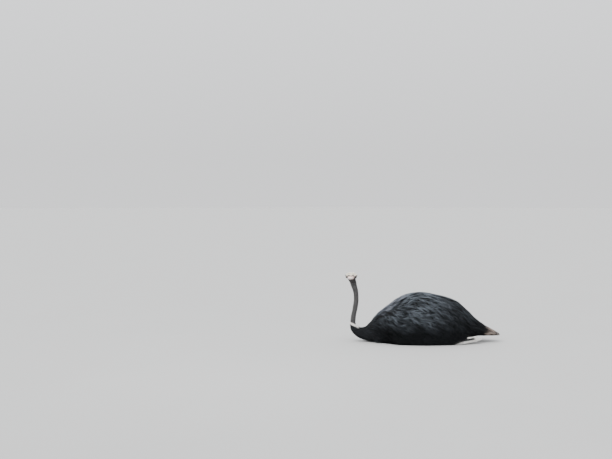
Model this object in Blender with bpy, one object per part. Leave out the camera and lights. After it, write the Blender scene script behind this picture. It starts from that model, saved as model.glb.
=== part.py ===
"""A male common ostrich at life size, sitting with its legs folded under it.

The bird faces -X and its neck stands up in front of the breast. The head is
turned to the bird's left, towards -Y. The origin is on the ground under the
middle of the bird. Lengths are in metres and +Z is up.
"""
import math

import bmesh
import bpy
import numpy as np
from mathutils import Matrix, Vector

# ---- driving dimensions ----------------------------------------------------
GAP = 0.0004            # clearance between neighbouring solids
GROUND = 0.0
SQUARENESS = 0.6        # how far a fully square section is from an oval one
SHARP_ANGLE = math.radians(50)
SIDES = {"left": -1, "right": 1}

# Where the body is parted, from the tail to the top of the neck.
TRUNK_REAR_X = 0.640
TRUNK_FRONT_X = -0.600
COLLAR_Z = 0.185        # the black feathers of the neck end and bare skin begins
NECK_SPLIT_Z = 0.440

HEAD_CENTRE = Vector((-0.814, -0.062, 0.746))   # midway between the eyes
HEAD_TURN = math.radians(8)     # from -Y towards -X
HEAD_NOD = math.radians(-2)     # bill below the level when above nought

EYE_RADIUS = 0.0240
EYE_SIDE = 0.0395       # eye centre from the middle of the head
EYE_FORWARD = math.radians(12)  # how far the gaze turns from straight sideways
EYE_OPENING = (0.0170, 0.0148)  # half length and half height between the lids
LID_RADIUS = 0.0284
LID_RISE = 0.0015       # how much more lid there is above the eye than below
EAR_RADIUS = 0.0060
EAR_PLACE = (-0.044, 0.0450, -0.014)    # in the head's frame, on its right

BILL_BASE = 0.044       # from between the eyes, along the head
GAPE_Z = -0.018         # level of the closed mouth, below the eyes

WING_FRONT_X, WING_REAR_X = -0.455, 0.520
WING_DEPTH = 0.040
WING_EDGE = 0.010       # how far its edges stand off the trunk
WING_ROOT = -0.012      # its inner face starts inside the trunk, which trims it
WING_REACH = 1.28       # above one, the lower edge stays thick where it rests
WING_CLEAR = 0.006      # its lower edge leaves the trunk this far off the ground

LEG_Y = 0.130           # the legs' distance from the middle
FOOT_X = -0.070         # the joint between the tarsus and the toes
BAY_OUT = 0.010         # how far the hollow over a leg is shifted outwards

# How finely the lofts are made.
BODY_RINGS, BODY_SEGMENTS = 56, 24
HEAD_RINGS, HEAD_SEGMENTS = 15, 16
BILL_RINGS, BILL_SEGMENTS = 9, 12
WING_COLUMNS, WING_ROWS = 13, 7
PLUME_RINGS, PLUME_SEGMENTS = 8, 10
LEG_SEGMENTS = 12

# ---- stations of the lofts -------------------------------------------------
# Along the middle of the body, from the tail tip to the top of the neck: x, z
# of the axis, how far the plumage reaches above it, below it and to each side,
# and how square its lower half is.
BODY = (
    (0.880, 0.080, 0.006, 0.009, 0.022, 0.0),
    (0.800, 0.098, 0.032, 0.031, 0.078, 0.0),
    (0.717, 0.118, 0.056, 0.052, 0.108, 0.0),
    (0.645, 0.136, 0.084, 0.070, 0.138, 0.1),
    (0.571, 0.150, 0.124, 0.098, 0.176, 0.3),
    (0.500, 0.163, 0.182, 0.145, 0.214, 0.5),
    (0.410, 0.173, 0.256, 0.195, 0.248, 0.8),
    (0.300, 0.182, 0.308, 0.222, 0.268, 0.9),
    (0.135, 0.188, 0.352, 0.232, 0.282, 1.0),
    (-0.050, 0.190, 0.371, 0.234, 0.284, 1.0),
    (-0.200, 0.186, 0.342, 0.230, 0.272, 1.0),
    (-0.300, 0.176, 0.284, 0.218, 0.250, 0.9),
    (-0.387, 0.164, 0.230, 0.202, 0.220, 0.8),
    (-0.488, 0.140, 0.164, 0.170, 0.172, 0.6),
    (-0.560, 0.117, 0.110, 0.132, 0.128, 0.3),
    (-0.618, 0.099, 0.081, 0.101, 0.096, 0.2),
    (-0.682, 0.095, 0.067, 0.071, 0.073, 0.0),
    (-0.741, 0.116, 0.056, 0.054, 0.056, 0.0),
    (-0.778, 0.155, 0.044, 0.043, 0.044, 0.0),
    (-0.790, 0.205, 0.034, 0.034, 0.034, 0.0),
    (-0.788, 0.265, 0.0315, 0.0300, 0.0310, 0.0),
    (-0.768, 0.375, 0.0315, 0.0295, 0.0305, 0.0),
    (-0.755, 0.480, 0.0315, 0.0290, 0.0305, 0.0),
    (-0.763, 0.580, 0.0320, 0.0315, 0.0300, 0.0),
    (-0.780, 0.652, 0.0330, 0.0430, 0.0315, 0.0),
)

# Along the head, in its own frame (along the bill, up from the eyes): the point
# on the nape or crown, the point on the throat or chin below it, half the
# width, how far the middle lies to the right, and how square the crown is.
SKULL = (
    (-0.098, -0.091, -0.036, -0.0910, 0.0380, -0.0205, 0.0),
    (-0.102, -0.068, -0.032, -0.0750, 0.0400, -0.0160, 0.0),
    (-0.103, -0.044, -0.020, -0.0580, 0.0430, -0.0080, 0.0),
    (-0.098, -0.020, -0.008, -0.0490, 0.0440, -0.0030, 0.0),
    (-0.085, 0.006, 0.004, -0.0440, 0.0440, 0.0, 0.1),
    (-0.066, 0.026, 0.013, -0.0415, 0.0435, 0.0, 0.3),
    (-0.045, 0.038, 0.020, -0.0395, 0.0450, 0.0, 0.5),
    (-0.020, 0.0445, 0.027, -0.0380, 0.0460, 0.0, 0.7),
    (0.004, 0.043, 0.033, -0.0365, 0.0440, 0.0, 0.7),
    (0.024, 0.032, 0.038, -0.0360, 0.0395, 0.0, 0.5),
    (BILL_BASE, 0.0135, BILL_BASE, -0.0360, 0.0350, 0.0, 0.3),
)

# The halves of the bill: distance from its root, half width, height.
BILL_UPPER = (
    (0.000, 0.0335, 0.0290), (0.025, 0.0325, 0.0225), (0.050, 0.0290, 0.0160),
    (0.066, 0.0220, 0.0115), (0.0735, 0.0125, 0.0075), (0.076, 0.0040, 0.0035),
)
BILL_LOWER = (
    (0.000, 0.0325, 0.0165), (0.025, 0.0310, 0.0125), (0.050, 0.0265, 0.0088),
    (0.064, 0.0185, 0.0064), (0.0705, 0.0100, 0.0044), (0.0725, 0.0035, 0.0022),
)

# A nostril: distance from the bill's root, half width. Its slit starts this far
# from the middle and slants inwards.
NOSTRIL = ((0.0075, 0.0004), (0.0100, 0.0017), (0.0155, 0.0017), (0.0185, 0.0004))
NOSTRIL_SIDE, NOSTRIL_SLANT = 0.0125, 0.12
NOSTRIL_TOP, NOSTRIL_FLOOR = 0.012, -0.0025

# The folded wing: how far along it, the angles of its upper and lower edges
# round the trunk from the back, and its share of the full depth.
WING = (
    (0.00, 62, 74, 0.15),
    (0.08, 42, 102, 0.75),
    (0.25, 30, 128, 1.00),
    (0.50, 28, 142, 0.95),
    (0.75, 38, 144, 0.75),
    (0.90, 56, 136, 0.50),
    (1.00, 80, 112, 0.15),
)

# The white plumes at the wing's end: x, distance from the middle, z, half
# height, half width.
WING_PLUMES = (
    (0.330, 0.250, 0.046, 0.040, 0.022),
    (0.420, 0.245, 0.050, 0.043, 0.026),
    (0.520, 0.215, 0.052, 0.038, 0.022),
    (0.600, 0.180, 0.052, 0.024, 0.014),
    (0.645, 0.158, 0.050, 0.008, 0.006),
)

# The leg's pieces, each with its number of rings and its stations: x, shift
# outwards, z, half width, half height.
LEG = {
    "shank": (7, (
        (0.130, 0.016, 0.118, 0.048, 0.040), (0.220, 0.010, 0.112, 0.042, 0.033),
        (0.310, 0.003, 0.110, 0.035, 0.026), (0.372, 0.000, 0.106, 0.030, 0.021),
    )),
    "tarsus": (12, (
        (0.412, 0.000, 0.052, 0.024, 0.026), (0.385, 0.000, 0.043, 0.037, 0.041),
        (0.330, 0.000, 0.036, 0.034, 0.036), (0.220, 0.000, 0.031, 0.024, 0.030),
        (0.080, 0.000, 0.030, 0.023, 0.029), (-0.020, 0.000, 0.031, 0.028, 0.031),
        (FOOT_X, 0.000, 0.028, 0.030, 0.028),
    )),
    "toe_inner": (7, (
        (FOOT_X - 0.001, -0.010, 0.025, 0.021, 0.026), (-0.120, -0.012, 0.022, 0.031, 0.024),
        (-0.170, -0.012, 0.019, 0.030, 0.021), (-0.215, -0.010, 0.016, 0.024, 0.018),
        (-0.232, -0.009, 0.014, 0.016, 0.014),
    )),
    "toe_outer": (6, (
        (FOOT_X - 0.001, 0.024, 0.018, 0.011, 0.018), (-0.100, 0.034, 0.016, 0.016, 0.017),
        (-0.135, 0.043, 0.013, 0.015, 0.014), (-0.158, 0.050, 0.010, 0.009, 0.010),
    )),
    "claw_inner": (4, (
        (-0.233, -0.009, 0.013, 0.014, 0.0105), (-0.262, -0.008, 0.010, 0.011, 0.008),
        (-0.282, -0.007, 0.006, 0.004, 0.004),
    )),
    "claw_outer": (3, ((-0.159, 0.050, 0.009, 0.006, 0.006), (-0.172, 0.053, 0.006, 0.003, 0.003))),
}

# The hollow over a folded leg: x, half width, height. Its section is the same
# arch all along, given in shares of the half width and of the height.
LEG_BAY = (
    (-0.315, 0.050, 0.045), (-0.200, 0.068, 0.060), (-0.080, 0.072, 0.074),
    (0.060, 0.072, 0.120), (0.120, 0.072, 0.176), (0.300, 0.070, 0.160),
    (0.470, 0.066, 0.130), (0.640, 0.066, 0.110),
)
BAY_RINGS = 9
ARCH = ((-1, -0.1), (-1, 0.55), (-0.6, 0.9), (0, 1), (0.6, 0.9), (1, 0.55), (1, -0.1))


# ---- curves and lofts ------------------------------------------------------
def through(rows, count):
    """Evenly spaced rows of a smooth curve through the given rows.

    The first two numbers of a row are its place, and their distances set the
    pace of the curve.
    """
    rows = np.array(rows, float)
    steps = np.hypot(*(rows[1:, :2] - rows[:-1, :2]).T)
    knots = np.concatenate([[0], np.cumsum(steps)])
    slopes = np.gradient(rows, knots, axis=0)
    at = np.linspace(0, knots[-1], count)
    k = np.clip(np.searchsorted(knots, at, side="right") - 1, 0, len(knots) - 2)
    span = (knots[k + 1] - knots[k])[:, None]
    t = (at[:, None] - knots[k][:, None]) / span
    start = (2 * t**3 - 3 * t**2 + 1) * rows[k] + (t**3 - 2 * t**2 + t) * span * slopes[k]
    end = (3 * t**2 - 2 * t**3) * rows[k + 1] + (t**3 - t**2) * span * slopes[k + 1]
    return start + end


def ring_offsets(up, down, side, segments, square=0.0, brow=0.0):
    """Offsets (to the right, upwards) round one section, starting at the top.

    The lower half is as square as square says, the upper half as brow says.
    """
    offsets = []
    for i in range(segments):
        angle = 2 * math.pi * i / segments
        c, s = math.cos(angle), math.sin(angle)
        power = 1 - SQUARENESS * (brow if c >= 0 else square)
        across = side * math.copysign(abs(s) ** power, s)
        offsets.append((across, (up if c >= 0 else down) * math.copysign(abs(c) ** power, c)))
    return offsets


def grounded(point):
    """The same point, or the one straight above it on the ground if it is below."""
    return Vector((point[0], point[1], max(point[2], GROUND)))


def link(obj, material=None, hidden=False):
    """Puts an object in the bird's collection, or in the cutters'."""
    (CUTTERS if hidden else BIRD).objects.link(obj)
    obj.hide_render = hidden
    if hidden:
        obj.display_type = "WIRE"
    if material:
        obj.data.materials.append(material)
    return obj


def loft(name, rings, material=None, hidden=False):
    """A closed solid through rings of equal length, with flat ends."""
    bm = bmesh.new()
    rows = [[bm.verts.new(p) for p in ring] for ring in rings]
    for a, b in zip(rows, rows[1:]):
        for i in range(len(a)):
            j = (i + 1) % len(a)
            bm.faces.new((a[i], a[j], b[j], b[i]))
    bm.faces.new(rows[0])
    bm.faces.new(rows[-1])
    bmesh.ops.remove_doubles(bm, verts=bm.verts, dist=1e-5)
    bmesh.ops.dissolve_degenerate(bm, edges=bm.edges, dist=1e-5)
    bmesh.ops.recalc_face_normals(bm, faces=bm.faces)
    # Twisted quads are split once here, so that a solid and the cutter grown
    # from it have the same facets.
    bmesh.ops.triangulate(bm, faces=[f for f in bm.faces if len(f.verts) == 4])
    mesh = bpy.data.meshes.new(name)
    bm.to_mesh(mesh)
    bm.free()
    mesh.shade_smooth()
    mesh.set_sharp_from_angle(angle=SHARP_ANGLE)
    return link(bpy.data.objects.new(name, mesh), material, hidden)


def ball(name, radius, place, material=None, hidden=False, detail=(16, 9)):
    """A sphere whose poles lie on the head's left and right."""
    bm = bmesh.new()
    bmesh.ops.create_uvsphere(bm, u_segments=detail[0], v_segments=detail[1], radius=radius)
    mesh = bpy.data.meshes.new(name)
    bm.to_mesh(mesh)
    bm.free()
    mesh.shade_smooth()
    obj = link(bpy.data.objects.new(name, mesh), material, hidden)
    obj.matrix_world = Matrix.Translation(place) @ HEAD_AXES.to_4x4() @ Matrix.Rotation(math.pi / 2, 4, "X")
    return obj


def grown(obj, amount):
    """A hidden copy of a solid as first lofted, swollen all over, to cut with."""
    bm = bmesh.new()
    bm.from_mesh(obj.data)
    bm.normal_update()
    moved = [v.co + v.normal * amount * min(v.calc_shell_factor(), 4) for v in bm.verts]
    for v, place in zip(bm.verts, moved):
        v.co = place
    mesh = bpy.data.meshes.new(obj.name + "_cutter")
    bm.to_mesh(mesh)
    bm.free()
    return link(bpy.data.objects.new(mesh.name, mesh), hidden=True)


def boolean(obj, other, operation="DIFFERENCE"):
    """Cuts other from obj, or joins it on."""
    modifier = obj.modifiers.new(operation.title(), "BOOLEAN")
    modifier.operation = operation
    modifier.object = other
    modifier.solver = "EXACT"
    return obj


def paint(name, colour, roughness):
    """A plain surface."""
    material = bpy.data.materials.new(name)
    material.use_nodes = True
    shader = material.node_tree.nodes["Principled BSDF"]
    shader.inputs["Base Color"].default_value = (*colour, 1)
    shader.inputs["Roughness"].default_value = roughness
    shader.inputs["Metallic"].default_value = 0
    return material


# ---- trunk, tail and neck --------------------------------------------------
def body_ring(row, tangent):
    """The points of one section of the body, in a plane across its axis."""
    x, z, up, down, side, square = row
    along = Vector((tangent[0], 0, tangent[1])).normalized()
    right = Vector((0, 1, 0))
    dorsal = right.cross(along)
    offsets = ring_offsets(up, down, side, BODY_SEGMENTS, square)
    return [grounded(Vector((x, 0, z)) + right * a + dorsal * b) for a, b in offsets]


def build_axis(plumage, tail_plumage, bare):
    """Parts the body across its axis into tail, trunk and three neck lengths."""
    rows = through(BODY, BODY_RINGS)
    tangents = np.gradient(rows[:, :2], axis=0)
    rings = [body_ring(row, tangent) for row, tangent in zip(rows, tangents)]
    cuts = (
        ("tail", tail_plumage, lambda x, z: x > TRUNK_REAR_X),
        ("trunk", plumage, lambda x, z: x > TRUNK_FRONT_X),
        ("neck_base", plumage, lambda x, z: z < COLLAR_Z),
        ("neck_lower", bare, lambda x, z: z < NECK_SPLIT_Z),
        ("neck_upper", bare, lambda x, z: True),
    )
    made, first = {}, 0
    for name, material, inside in cuts:
        last = first
        while last + 1 < len(rows) and inside(*rows[last + 1][:2]):
            last += 1
        own = rings[first:last + 1]
        if last + 1 < len(rows):
            # The solid runs on to a gap short of the next one's first ring.
            share = 1 - GAP / math.dist(rows[last][:2], rows[last + 1][:2])
            own.append([a.lerp(b, share) for a, b in zip(rings[last], rings[last + 1])])
        made[name] = loft(name, own, material)
        first = last + 1
    return made


def trunk_row(x):
    """The section of the trunk at one place along it."""
    return [np.interp(x, TRUNK_ROWS[::-1, 0], column) for column in TRUNK_ROWS[::-1].T]


def ground_angle(x):
    """How far round from the back, in degrees, the trunk meets the ground."""
    _, z, _, down, _, square = trunk_row(x)
    share = min((z - WING_CLEAR) / down, 1)
    return 180 - math.degrees(math.acos(share ** (1 / (1 - SQUARENESS * square))))


def trunk_point(x, angle, out):
    """A point over the trunk: along it, round it from the back, and out from it."""
    _, z, up, down, side, square = trunk_row(x)
    c, s = math.cos(angle), math.sin(angle)
    reach = up if c >= 0 else down
    power = 1 - SQUARENESS * square if c < 0 else 1
    height = reach * math.copysign(abs(c) ** power, c)
    across = side * abs(s) ** power
    normal = Vector((0, across / side**2, height / reach**2)).normalized()
    return Vector((x, across, z + height)) + normal * out


# ---- wings -----------------------------------------------------------------
def swell(t):
    """The wing's thickness from its upper edge to its lower one, as a share."""
    return math.sin(math.pi * t / WING_REACH) ** 0.55


def wing_line(u, side, outer):
    """Points down the outer or inner face of the folded wing, u along it."""
    x = WING_FRONT_X + (WING_REAR_X - WING_FRONT_X) * u
    along, tops, lows, shares = zip(*WING)
    top = np.interp(u, along, tops)
    low = min(np.interp(u, along, lows), ground_angle(x))
    depth = WING_DEPTH * np.interp(u, along, shares)
    line = []
    for j in range(WING_ROWS + 1):
        v = j / WING_ROWS
        angle = math.radians(top + (low - top) * v)
        point = trunk_point(x, angle, WING_EDGE + depth * swell(v) if outer else WING_ROOT)
        line.append(grounded((point.x, side * point.y, point.z)))
    return line


def build_wing(name, side, material, trunk_cutter):
    """A folded wing: a swollen sheet over the flank, trimmed to the trunk."""
    rings = []
    for i in range(WING_COLUMNS + 1):
        u = i / WING_COLUMNS
        rings.append(wing_line(u, side, True) + wing_line(u, side, False)[::-1])
    return boolean(loft(name, rings, material), trunk_cutter)


def build_wing_plumes(name, side, material, trunk_cutter):
    """The white plumes that show past the end of the folded wing."""
    rings = []
    for x, y, z, high, wide in through(WING_PLUMES, PLUME_RINGS):
        offsets = ring_offsets(high, high, wide, PLUME_SEGMENTS)
        rings.append([grounded((x, side * (y + a), z + b)) for a, b in offsets])
    return boolean(loft(name, rings, material), trunk_cutter)


# ---- head ------------------------------------------------------------------
def head_axes():
    """The head's forward, right and up directions, as a matrix of columns."""
    level = Vector((-math.sin(HEAD_TURN), -math.cos(HEAD_TURN), 0))
    forward = level * math.cos(HEAD_NOD) - Vector((0, 0, math.sin(HEAD_NOD)))
    right = forward.cross(Vector((0, 0, 1))).normalized()
    return Matrix((forward, right, right.cross(forward))).transposed()


def in_head(x, y, z):
    """A point of the head's frame, in the bird's."""
    return HEAD_CENTRE + HEAD_AXES @ Vector((x, y, z))


def head_rings():
    """Sections of the head from the top of the neck to the root of the bill."""
    rows = through(BODY, BODY_RINGS)
    rise = Vector((rows[-1][0] - rows[-2][0], 0, rows[-1][1] - rows[-2][1])).normalized()
    neck = Vector((rows[-1][0], 0, rows[-1][1])) + rise * GAP
    rings = []
    for top_x, top_z, low_x, low_z, wide, shift, brow in through(SKULL, HEAD_RINGS):
        ring = []
        for a, b in ring_offsets(0.5, 0.5, wide, HEAD_SEGMENTS, brow=brow):
            x = low_x + (top_x - low_x) * (0.5 + b)
            z = low_z + (top_z - low_z) * (0.5 + b)
            ring.append(in_head(x, shift + a, z))
        rings.append(ring)
    rings[0] = [p - rise * (p - neck).dot(rise) for p in rings[0]]
    return rings


def build_head(skin):
    """The head with its lids, eye sockets and ears."""
    head = loft("head", head_rings(), skin)
    for label, side in SIDES.items():
        centre = in_head(0, side * EYE_SIDE, 0)
        above = in_head(0, side * EYE_SIDE, LID_RISE)
        ear_x, ear_y, ear_z = EAR_PLACE
        boolean(head, ball(f"lid_{label}", LID_RADIUS, above, hidden=True), "UNION")
        boolean(head, ball(f"socket_{label}", EYE_RADIUS + GAP, centre, hidden=True))
        boolean(head, eye_window(label, side))
        ear = ball(f"ear_{label}", EAR_RADIUS, in_head(ear_x, side * ear_y, ear_z), hidden=True, detail=(8, 6))
        boolean(head, ear)
    return head


def eye_window(label, side):
    """A widening oval plug that opens the lids over one eye, a little forwards."""
    half_long, half_high = EYE_OPENING
    gaze = Matrix.Rotation(-side * EYE_FORWARD, 3, "Z")
    rings = []
    for out in (0.4 * EYE_RADIUS, 2 * EYE_RADIUS):
        scale = 0.35 + 0.65 * out / EYE_RADIUS
        ring = []
        for a, b in ring_offsets(half_high, half_high, half_long, 14):
            spot = gaze @ Vector((a * scale, side * out, b * scale))
            ring.append(in_head(spot.x, spot.y + side * EYE_SIDE, spot.z))
        rings.append(ring)
    return loft(f"window_{label}", rings, hidden=True)


def bill_half(name, stations, facing, horn):
    """One half of the broad flat bill; facing is 1 for the upper, -1 for the lower."""
    rings = []
    for along, wide, high in through(stations, BILL_RINGS):
        ring = []
        for i in range(BILL_SEGMENTS + 1):
            angle = math.pi * i / BILL_SEGMENTS
            rise = GAP / 2 + high * math.sin(angle) ** 0.8
            ring.append(in_head(BILL_BASE + GAP + along, wide * math.cos(angle), GAPE_Z + facing * rise))
        rings.append(ring)
    return loft(name, rings, horn)


def nostril(label, side):
    """The long slit in one side of the upper bill, slanting inwards to the front."""
    rings = []
    for along, half in NOSTRIL:
        y = side * (NOSTRIL_SIDE - NOSTRIL_SLANT * along)
        offsets = ring_offsets(NOSTRIL_TOP, -NOSTRIL_FLOOR, half, 8)
        rings.append([in_head(BILL_BASE + along, y + a, b) for a, b in offsets])
    return loft(f"nostril_{label}", rings, hidden=True)


# ---- legs ------------------------------------------------------------------
def build_leg(label, side, skin, nail):
    """One folded leg, from the shank in the plumage to the claws."""
    for name, (count, stations) in LEG.items():
        rings = []
        for x, out, z, wide, high in through(stations, count):
            offsets = ring_offsets(high, high, wide, LEG_SEGMENTS, square=0.15)
            rings.append([grounded((x, side * (LEG_Y + out) + a, z + b)) for a, b in offsets])
        loft(f"{name}_{label}", rings, nail if name.startswith("claw") else skin)


def leg_bay(label, side):
    """The hollow in the belly plumage where a folded leg lies."""
    y = side * (LEG_Y + BAY_OUT)
    rings = []
    for x, wide, high in through(LEG_BAY, BAY_RINGS):
        rings.append([(x, y + a * wide, b * high) for a, b in ARCH])
    return loft(f"bay_{label}", rings, hidden=True)


# ---- assembly --------------------------------------------------------------
def main():
    """Builds every piece of the bird."""
    plumage = paint("black_plumage", (0.012, 0.012, 0.015), 0.75)
    white = paint("white_plumes", (0.80, 0.78, 0.74), 0.80)
    buff = paint("buff_tail", (0.46, 0.36, 0.29), 0.80)
    bare = paint("bare_skin", (0.19, 0.17, 0.17), 0.65)
    horn = paint("bill_horn", (0.56, 0.46, 0.40), 0.45)
    nail = paint("claw_horn", (0.10, 0.085, 0.075), 0.40)
    eye = paint("eye", (0.030, 0.016, 0.010), 0.08)

    trunk = build_axis(plumage, buff, bare)["trunk"]
    trunk_cutter = grown(trunk, GAP)
    build_head(bare)
    bill_upper = bill_half("bill_upper", BILL_UPPER, 1, horn)
    bill_half("bill_lower", BILL_LOWER, -1, horn)

    for label, side in SIDES.items():
        boolean(bill_upper, nostril(label, side))
        ball(f"eye_{label}", EYE_RADIUS, in_head(0, side * EYE_SIDE, 0), eye)
        wing = build_wing(f"wing_{label}", side, plumage, trunk_cutter)
        plumes = build_wing_plumes(f"wing_plumes_{label}", side, white, trunk_cutter)
        boolean(wing, grown(plumes, GAP))
        boolean(trunk, leg_bay(label, side))
        build_leg(label, side, bare, nail)


for old in list(bpy.data.objects):
    bpy.data.objects.remove(old)
BIRD = bpy.data.collections.new("ostrich")
CUTTERS = bpy.data.collections.new("cutters")
bpy.context.scene.collection.children.link(BIRD)
bpy.context.scene.collection.children.link(CUTTERS)
HEAD_AXES = head_axes()
TRUNK_ROWS = through(BODY, 240)
TRUNK_ROWS = TRUNK_ROWS[TRUNK_ROWS[:, 0] > TRUNK_FRONT_X]
main()
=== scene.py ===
"""Looks for the sitting male ostrich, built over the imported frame.

One skin follows the solids just inside them. Plumes, down and bristles are mesh
laid over it. The bill, the eyes and the claws are pieces of their own. The bird
faces -X with its head turned towards -Y. Lengths are in metres and +Z is up.
"""
import math

import bpy
import numpy as np
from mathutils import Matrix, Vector
from mathutils.bvhtree import BVHTree


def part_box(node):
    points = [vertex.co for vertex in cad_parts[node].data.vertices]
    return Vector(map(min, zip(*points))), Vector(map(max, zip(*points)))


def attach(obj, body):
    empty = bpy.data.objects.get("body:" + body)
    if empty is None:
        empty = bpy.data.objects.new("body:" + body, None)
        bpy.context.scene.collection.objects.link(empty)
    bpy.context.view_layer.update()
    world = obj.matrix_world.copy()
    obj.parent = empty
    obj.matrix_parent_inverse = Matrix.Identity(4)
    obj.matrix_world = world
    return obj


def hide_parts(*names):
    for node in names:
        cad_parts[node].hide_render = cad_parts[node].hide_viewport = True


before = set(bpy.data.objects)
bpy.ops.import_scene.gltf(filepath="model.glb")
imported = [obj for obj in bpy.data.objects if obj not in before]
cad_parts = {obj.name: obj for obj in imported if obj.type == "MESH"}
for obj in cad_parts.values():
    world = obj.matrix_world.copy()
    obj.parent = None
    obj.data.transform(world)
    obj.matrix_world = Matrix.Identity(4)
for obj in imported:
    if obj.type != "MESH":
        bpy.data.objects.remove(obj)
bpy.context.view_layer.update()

# ---- places read from the frame ---------------------------------------------
SIDES = {"left": -1, "right": 1}


def middle(node):
    """The middle of a CAD node's box."""
    low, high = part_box(node)
    return np.array((low + high) / 2)


def unit(vectors):
    """The same directions with a length of one."""
    size = np.linalg.norm(vectors, axis=-1, keepdims=True)
    return vectors / np.maximum(size, 1e-12)


def dot(a, b):
    """The products of paired vectors."""
    return (a * b).sum(axis=-1)


def smoothstep(low, high, value):
    """Nought below low, one above high, and a smooth ramp between them."""
    t = np.clip((value - low) / (high - low), 0, 1)
    return t * t * (3 - 2 * t)


def window(value, low, full, fading, gone):
    """One from full to fading, nought below low and above gone, and smooth ramps between."""
    return smoothstep(low, full, value) * (1 - smoothstep(fading, gone, value))


def turns(steps):
    """Angles once round, evenly apart."""
    return np.linspace(0, 2 * math.pi, steps, endpoint=False)


def bell(away, width):
    """One where away is nought, falling off smoothly over a width on both sides."""
    return np.exp(-(away / width) ** 2)


EYE = {label: middle(f"eye_{label}") for label in SIDES}
EYE_RADIUS = float(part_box("eye_left")[1].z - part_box("eye_left")[0].z) / 2
HEAD_CENTRE = (EYE["left"] + EYE["right"]) / 2
HEAD_NOD = math.radians(-2)
RIGHT = unit(EYE["right"] - EYE["left"])
LEVEL = np.cross((0, 0, 1), RIGHT)
FORWARD = LEVEL * math.cos(HEAD_NOD) - np.array((0, 0, math.sin(HEAD_NOD)))
UPWARD = np.cross(RIGHT, FORWARD)
HEAD_AXES = np.stack([FORWARD, RIGHT, UPWARD])

# ---- the solids' stations, as in the part's source ---------------------------
SQUARENESS = 0.6

# Along the middle of the body, from the tail tip to the top of the neck: x, z
# of the axis, reach above it, below it and to each side, squareness below.
BODY = (
    (0.880, 0.080, 0.006, 0.009, 0.022, 0.0),
    (0.800, 0.098, 0.032, 0.031, 0.078, 0.0),
    (0.717, 0.118, 0.056, 0.052, 0.108, 0.0),
    (0.645, 0.136, 0.084, 0.070, 0.138, 0.1),
    (0.571, 0.150, 0.124, 0.098, 0.176, 0.3),
    (0.500, 0.163, 0.182, 0.145, 0.214, 0.5),
    (0.410, 0.173, 0.256, 0.195, 0.248, 0.8),
    (0.300, 0.182, 0.308, 0.222, 0.268, 0.9),
    (0.135, 0.188, 0.352, 0.232, 0.282, 1.0),
    (-0.050, 0.190, 0.371, 0.234, 0.284, 1.0),
    (-0.200, 0.186, 0.342, 0.230, 0.272, 1.0),
    (-0.300, 0.176, 0.284, 0.218, 0.250, 0.9),
    (-0.387, 0.164, 0.230, 0.202, 0.220, 0.8),
    (-0.488, 0.140, 0.164, 0.170, 0.172, 0.6),
    (-0.560, 0.117, 0.110, 0.132, 0.128, 0.3),
    (-0.618, 0.099, 0.081, 0.101, 0.096, 0.2),
    (-0.682, 0.095, 0.067, 0.071, 0.073, 0.0),
    (-0.741, 0.116, 0.056, 0.054, 0.056, 0.0),
    (-0.778, 0.155, 0.044, 0.043, 0.044, 0.0),
    (-0.790, 0.205, 0.034, 0.034, 0.034, 0.0),
    (-0.788, 0.265, 0.0315, 0.0300, 0.0310, 0.0),
    (-0.768, 0.375, 0.0315, 0.0295, 0.0305, 0.0),
    (-0.755, 0.480, 0.0315, 0.0290, 0.0305, 0.0),
    (-0.763, 0.580, 0.0320, 0.0315, 0.0300, 0.0),
    (-0.780, 0.652, 0.0330, 0.0430, 0.0315, 0.0),
)

# Along the head, in its own frame: the point on the nape or crown (forwards,
# up), the one on the throat or chin, half width, shift right, crown squareness.
BILL_BASE = 0.044
SKULL = (
    (-0.098, -0.091, -0.036, -0.0910, 0.0380, -0.0205, 0.0),
    (-0.102, -0.068, -0.032, -0.0750, 0.0400, -0.0160, 0.0),
    (-0.103, -0.044, -0.020, -0.0580, 0.0430, -0.0080, 0.0),
    (-0.098, -0.020, -0.008, -0.0490, 0.0440, -0.0030, 0.0),
    (-0.085, 0.006, 0.004, -0.0440, 0.0440, 0.0, 0.1),
    (-0.066, 0.026, 0.013, -0.0415, 0.0435, 0.0, 0.3),
    (-0.045, 0.038, 0.020, -0.0395, 0.0450, 0.0, 0.5),
    (-0.020, 0.0445, 0.027, -0.0380, 0.0460, 0.0, 0.7),
    (0.004, 0.043, 0.033, -0.0365, 0.0440, 0.0, 0.7),
    (0.024, 0.032, 0.038, -0.0360, 0.0395, 0.0, 0.5),
    (BILL_BASE, 0.0135, BILL_BASE, -0.0360, 0.0350, 0.0, 0.3),
)
HEAD_TWIST = math.radians(82)   # how far the head is turned from the body

# The halves of the bill: distance from its root, half width, height.
GAPE_Z = -0.018
BILL_UPPER = (
    (0.000, 0.0335, 0.0290), (0.025, 0.0325, 0.0225), (0.050, 0.0290, 0.0160),
    (0.066, 0.0220, 0.0115), (0.0735, 0.0125, 0.0075), (0.076, 0.0040, 0.0035),
)
BILL_LOWER = (
    (0.000, 0.0325, 0.0165), (0.025, 0.0310, 0.0125), (0.050, 0.0265, 0.0088),
    (0.064, 0.0185, 0.0064), (0.0705, 0.0100, 0.0044), (0.0725, 0.0035, 0.0022),
)

# The folded wing: how far along it, the angles of its edges round the trunk
# from the back, and its share of the full depth.
WING_FRONT_X, WING_REAR_X = -0.455, 0.520
WING_DEPTH, WING_EDGE = 0.040, 0.010
WING = (
    (0.00, 62, 74, 0.15), (0.08, 42, 102, 0.75), (0.25, 30, 128, 1.00), (0.50, 28, 142, 0.95),
    (0.75, 38, 144, 0.75), (0.90, 56, 136, 0.50), (1.00, 80, 112, 0.15),
)

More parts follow.
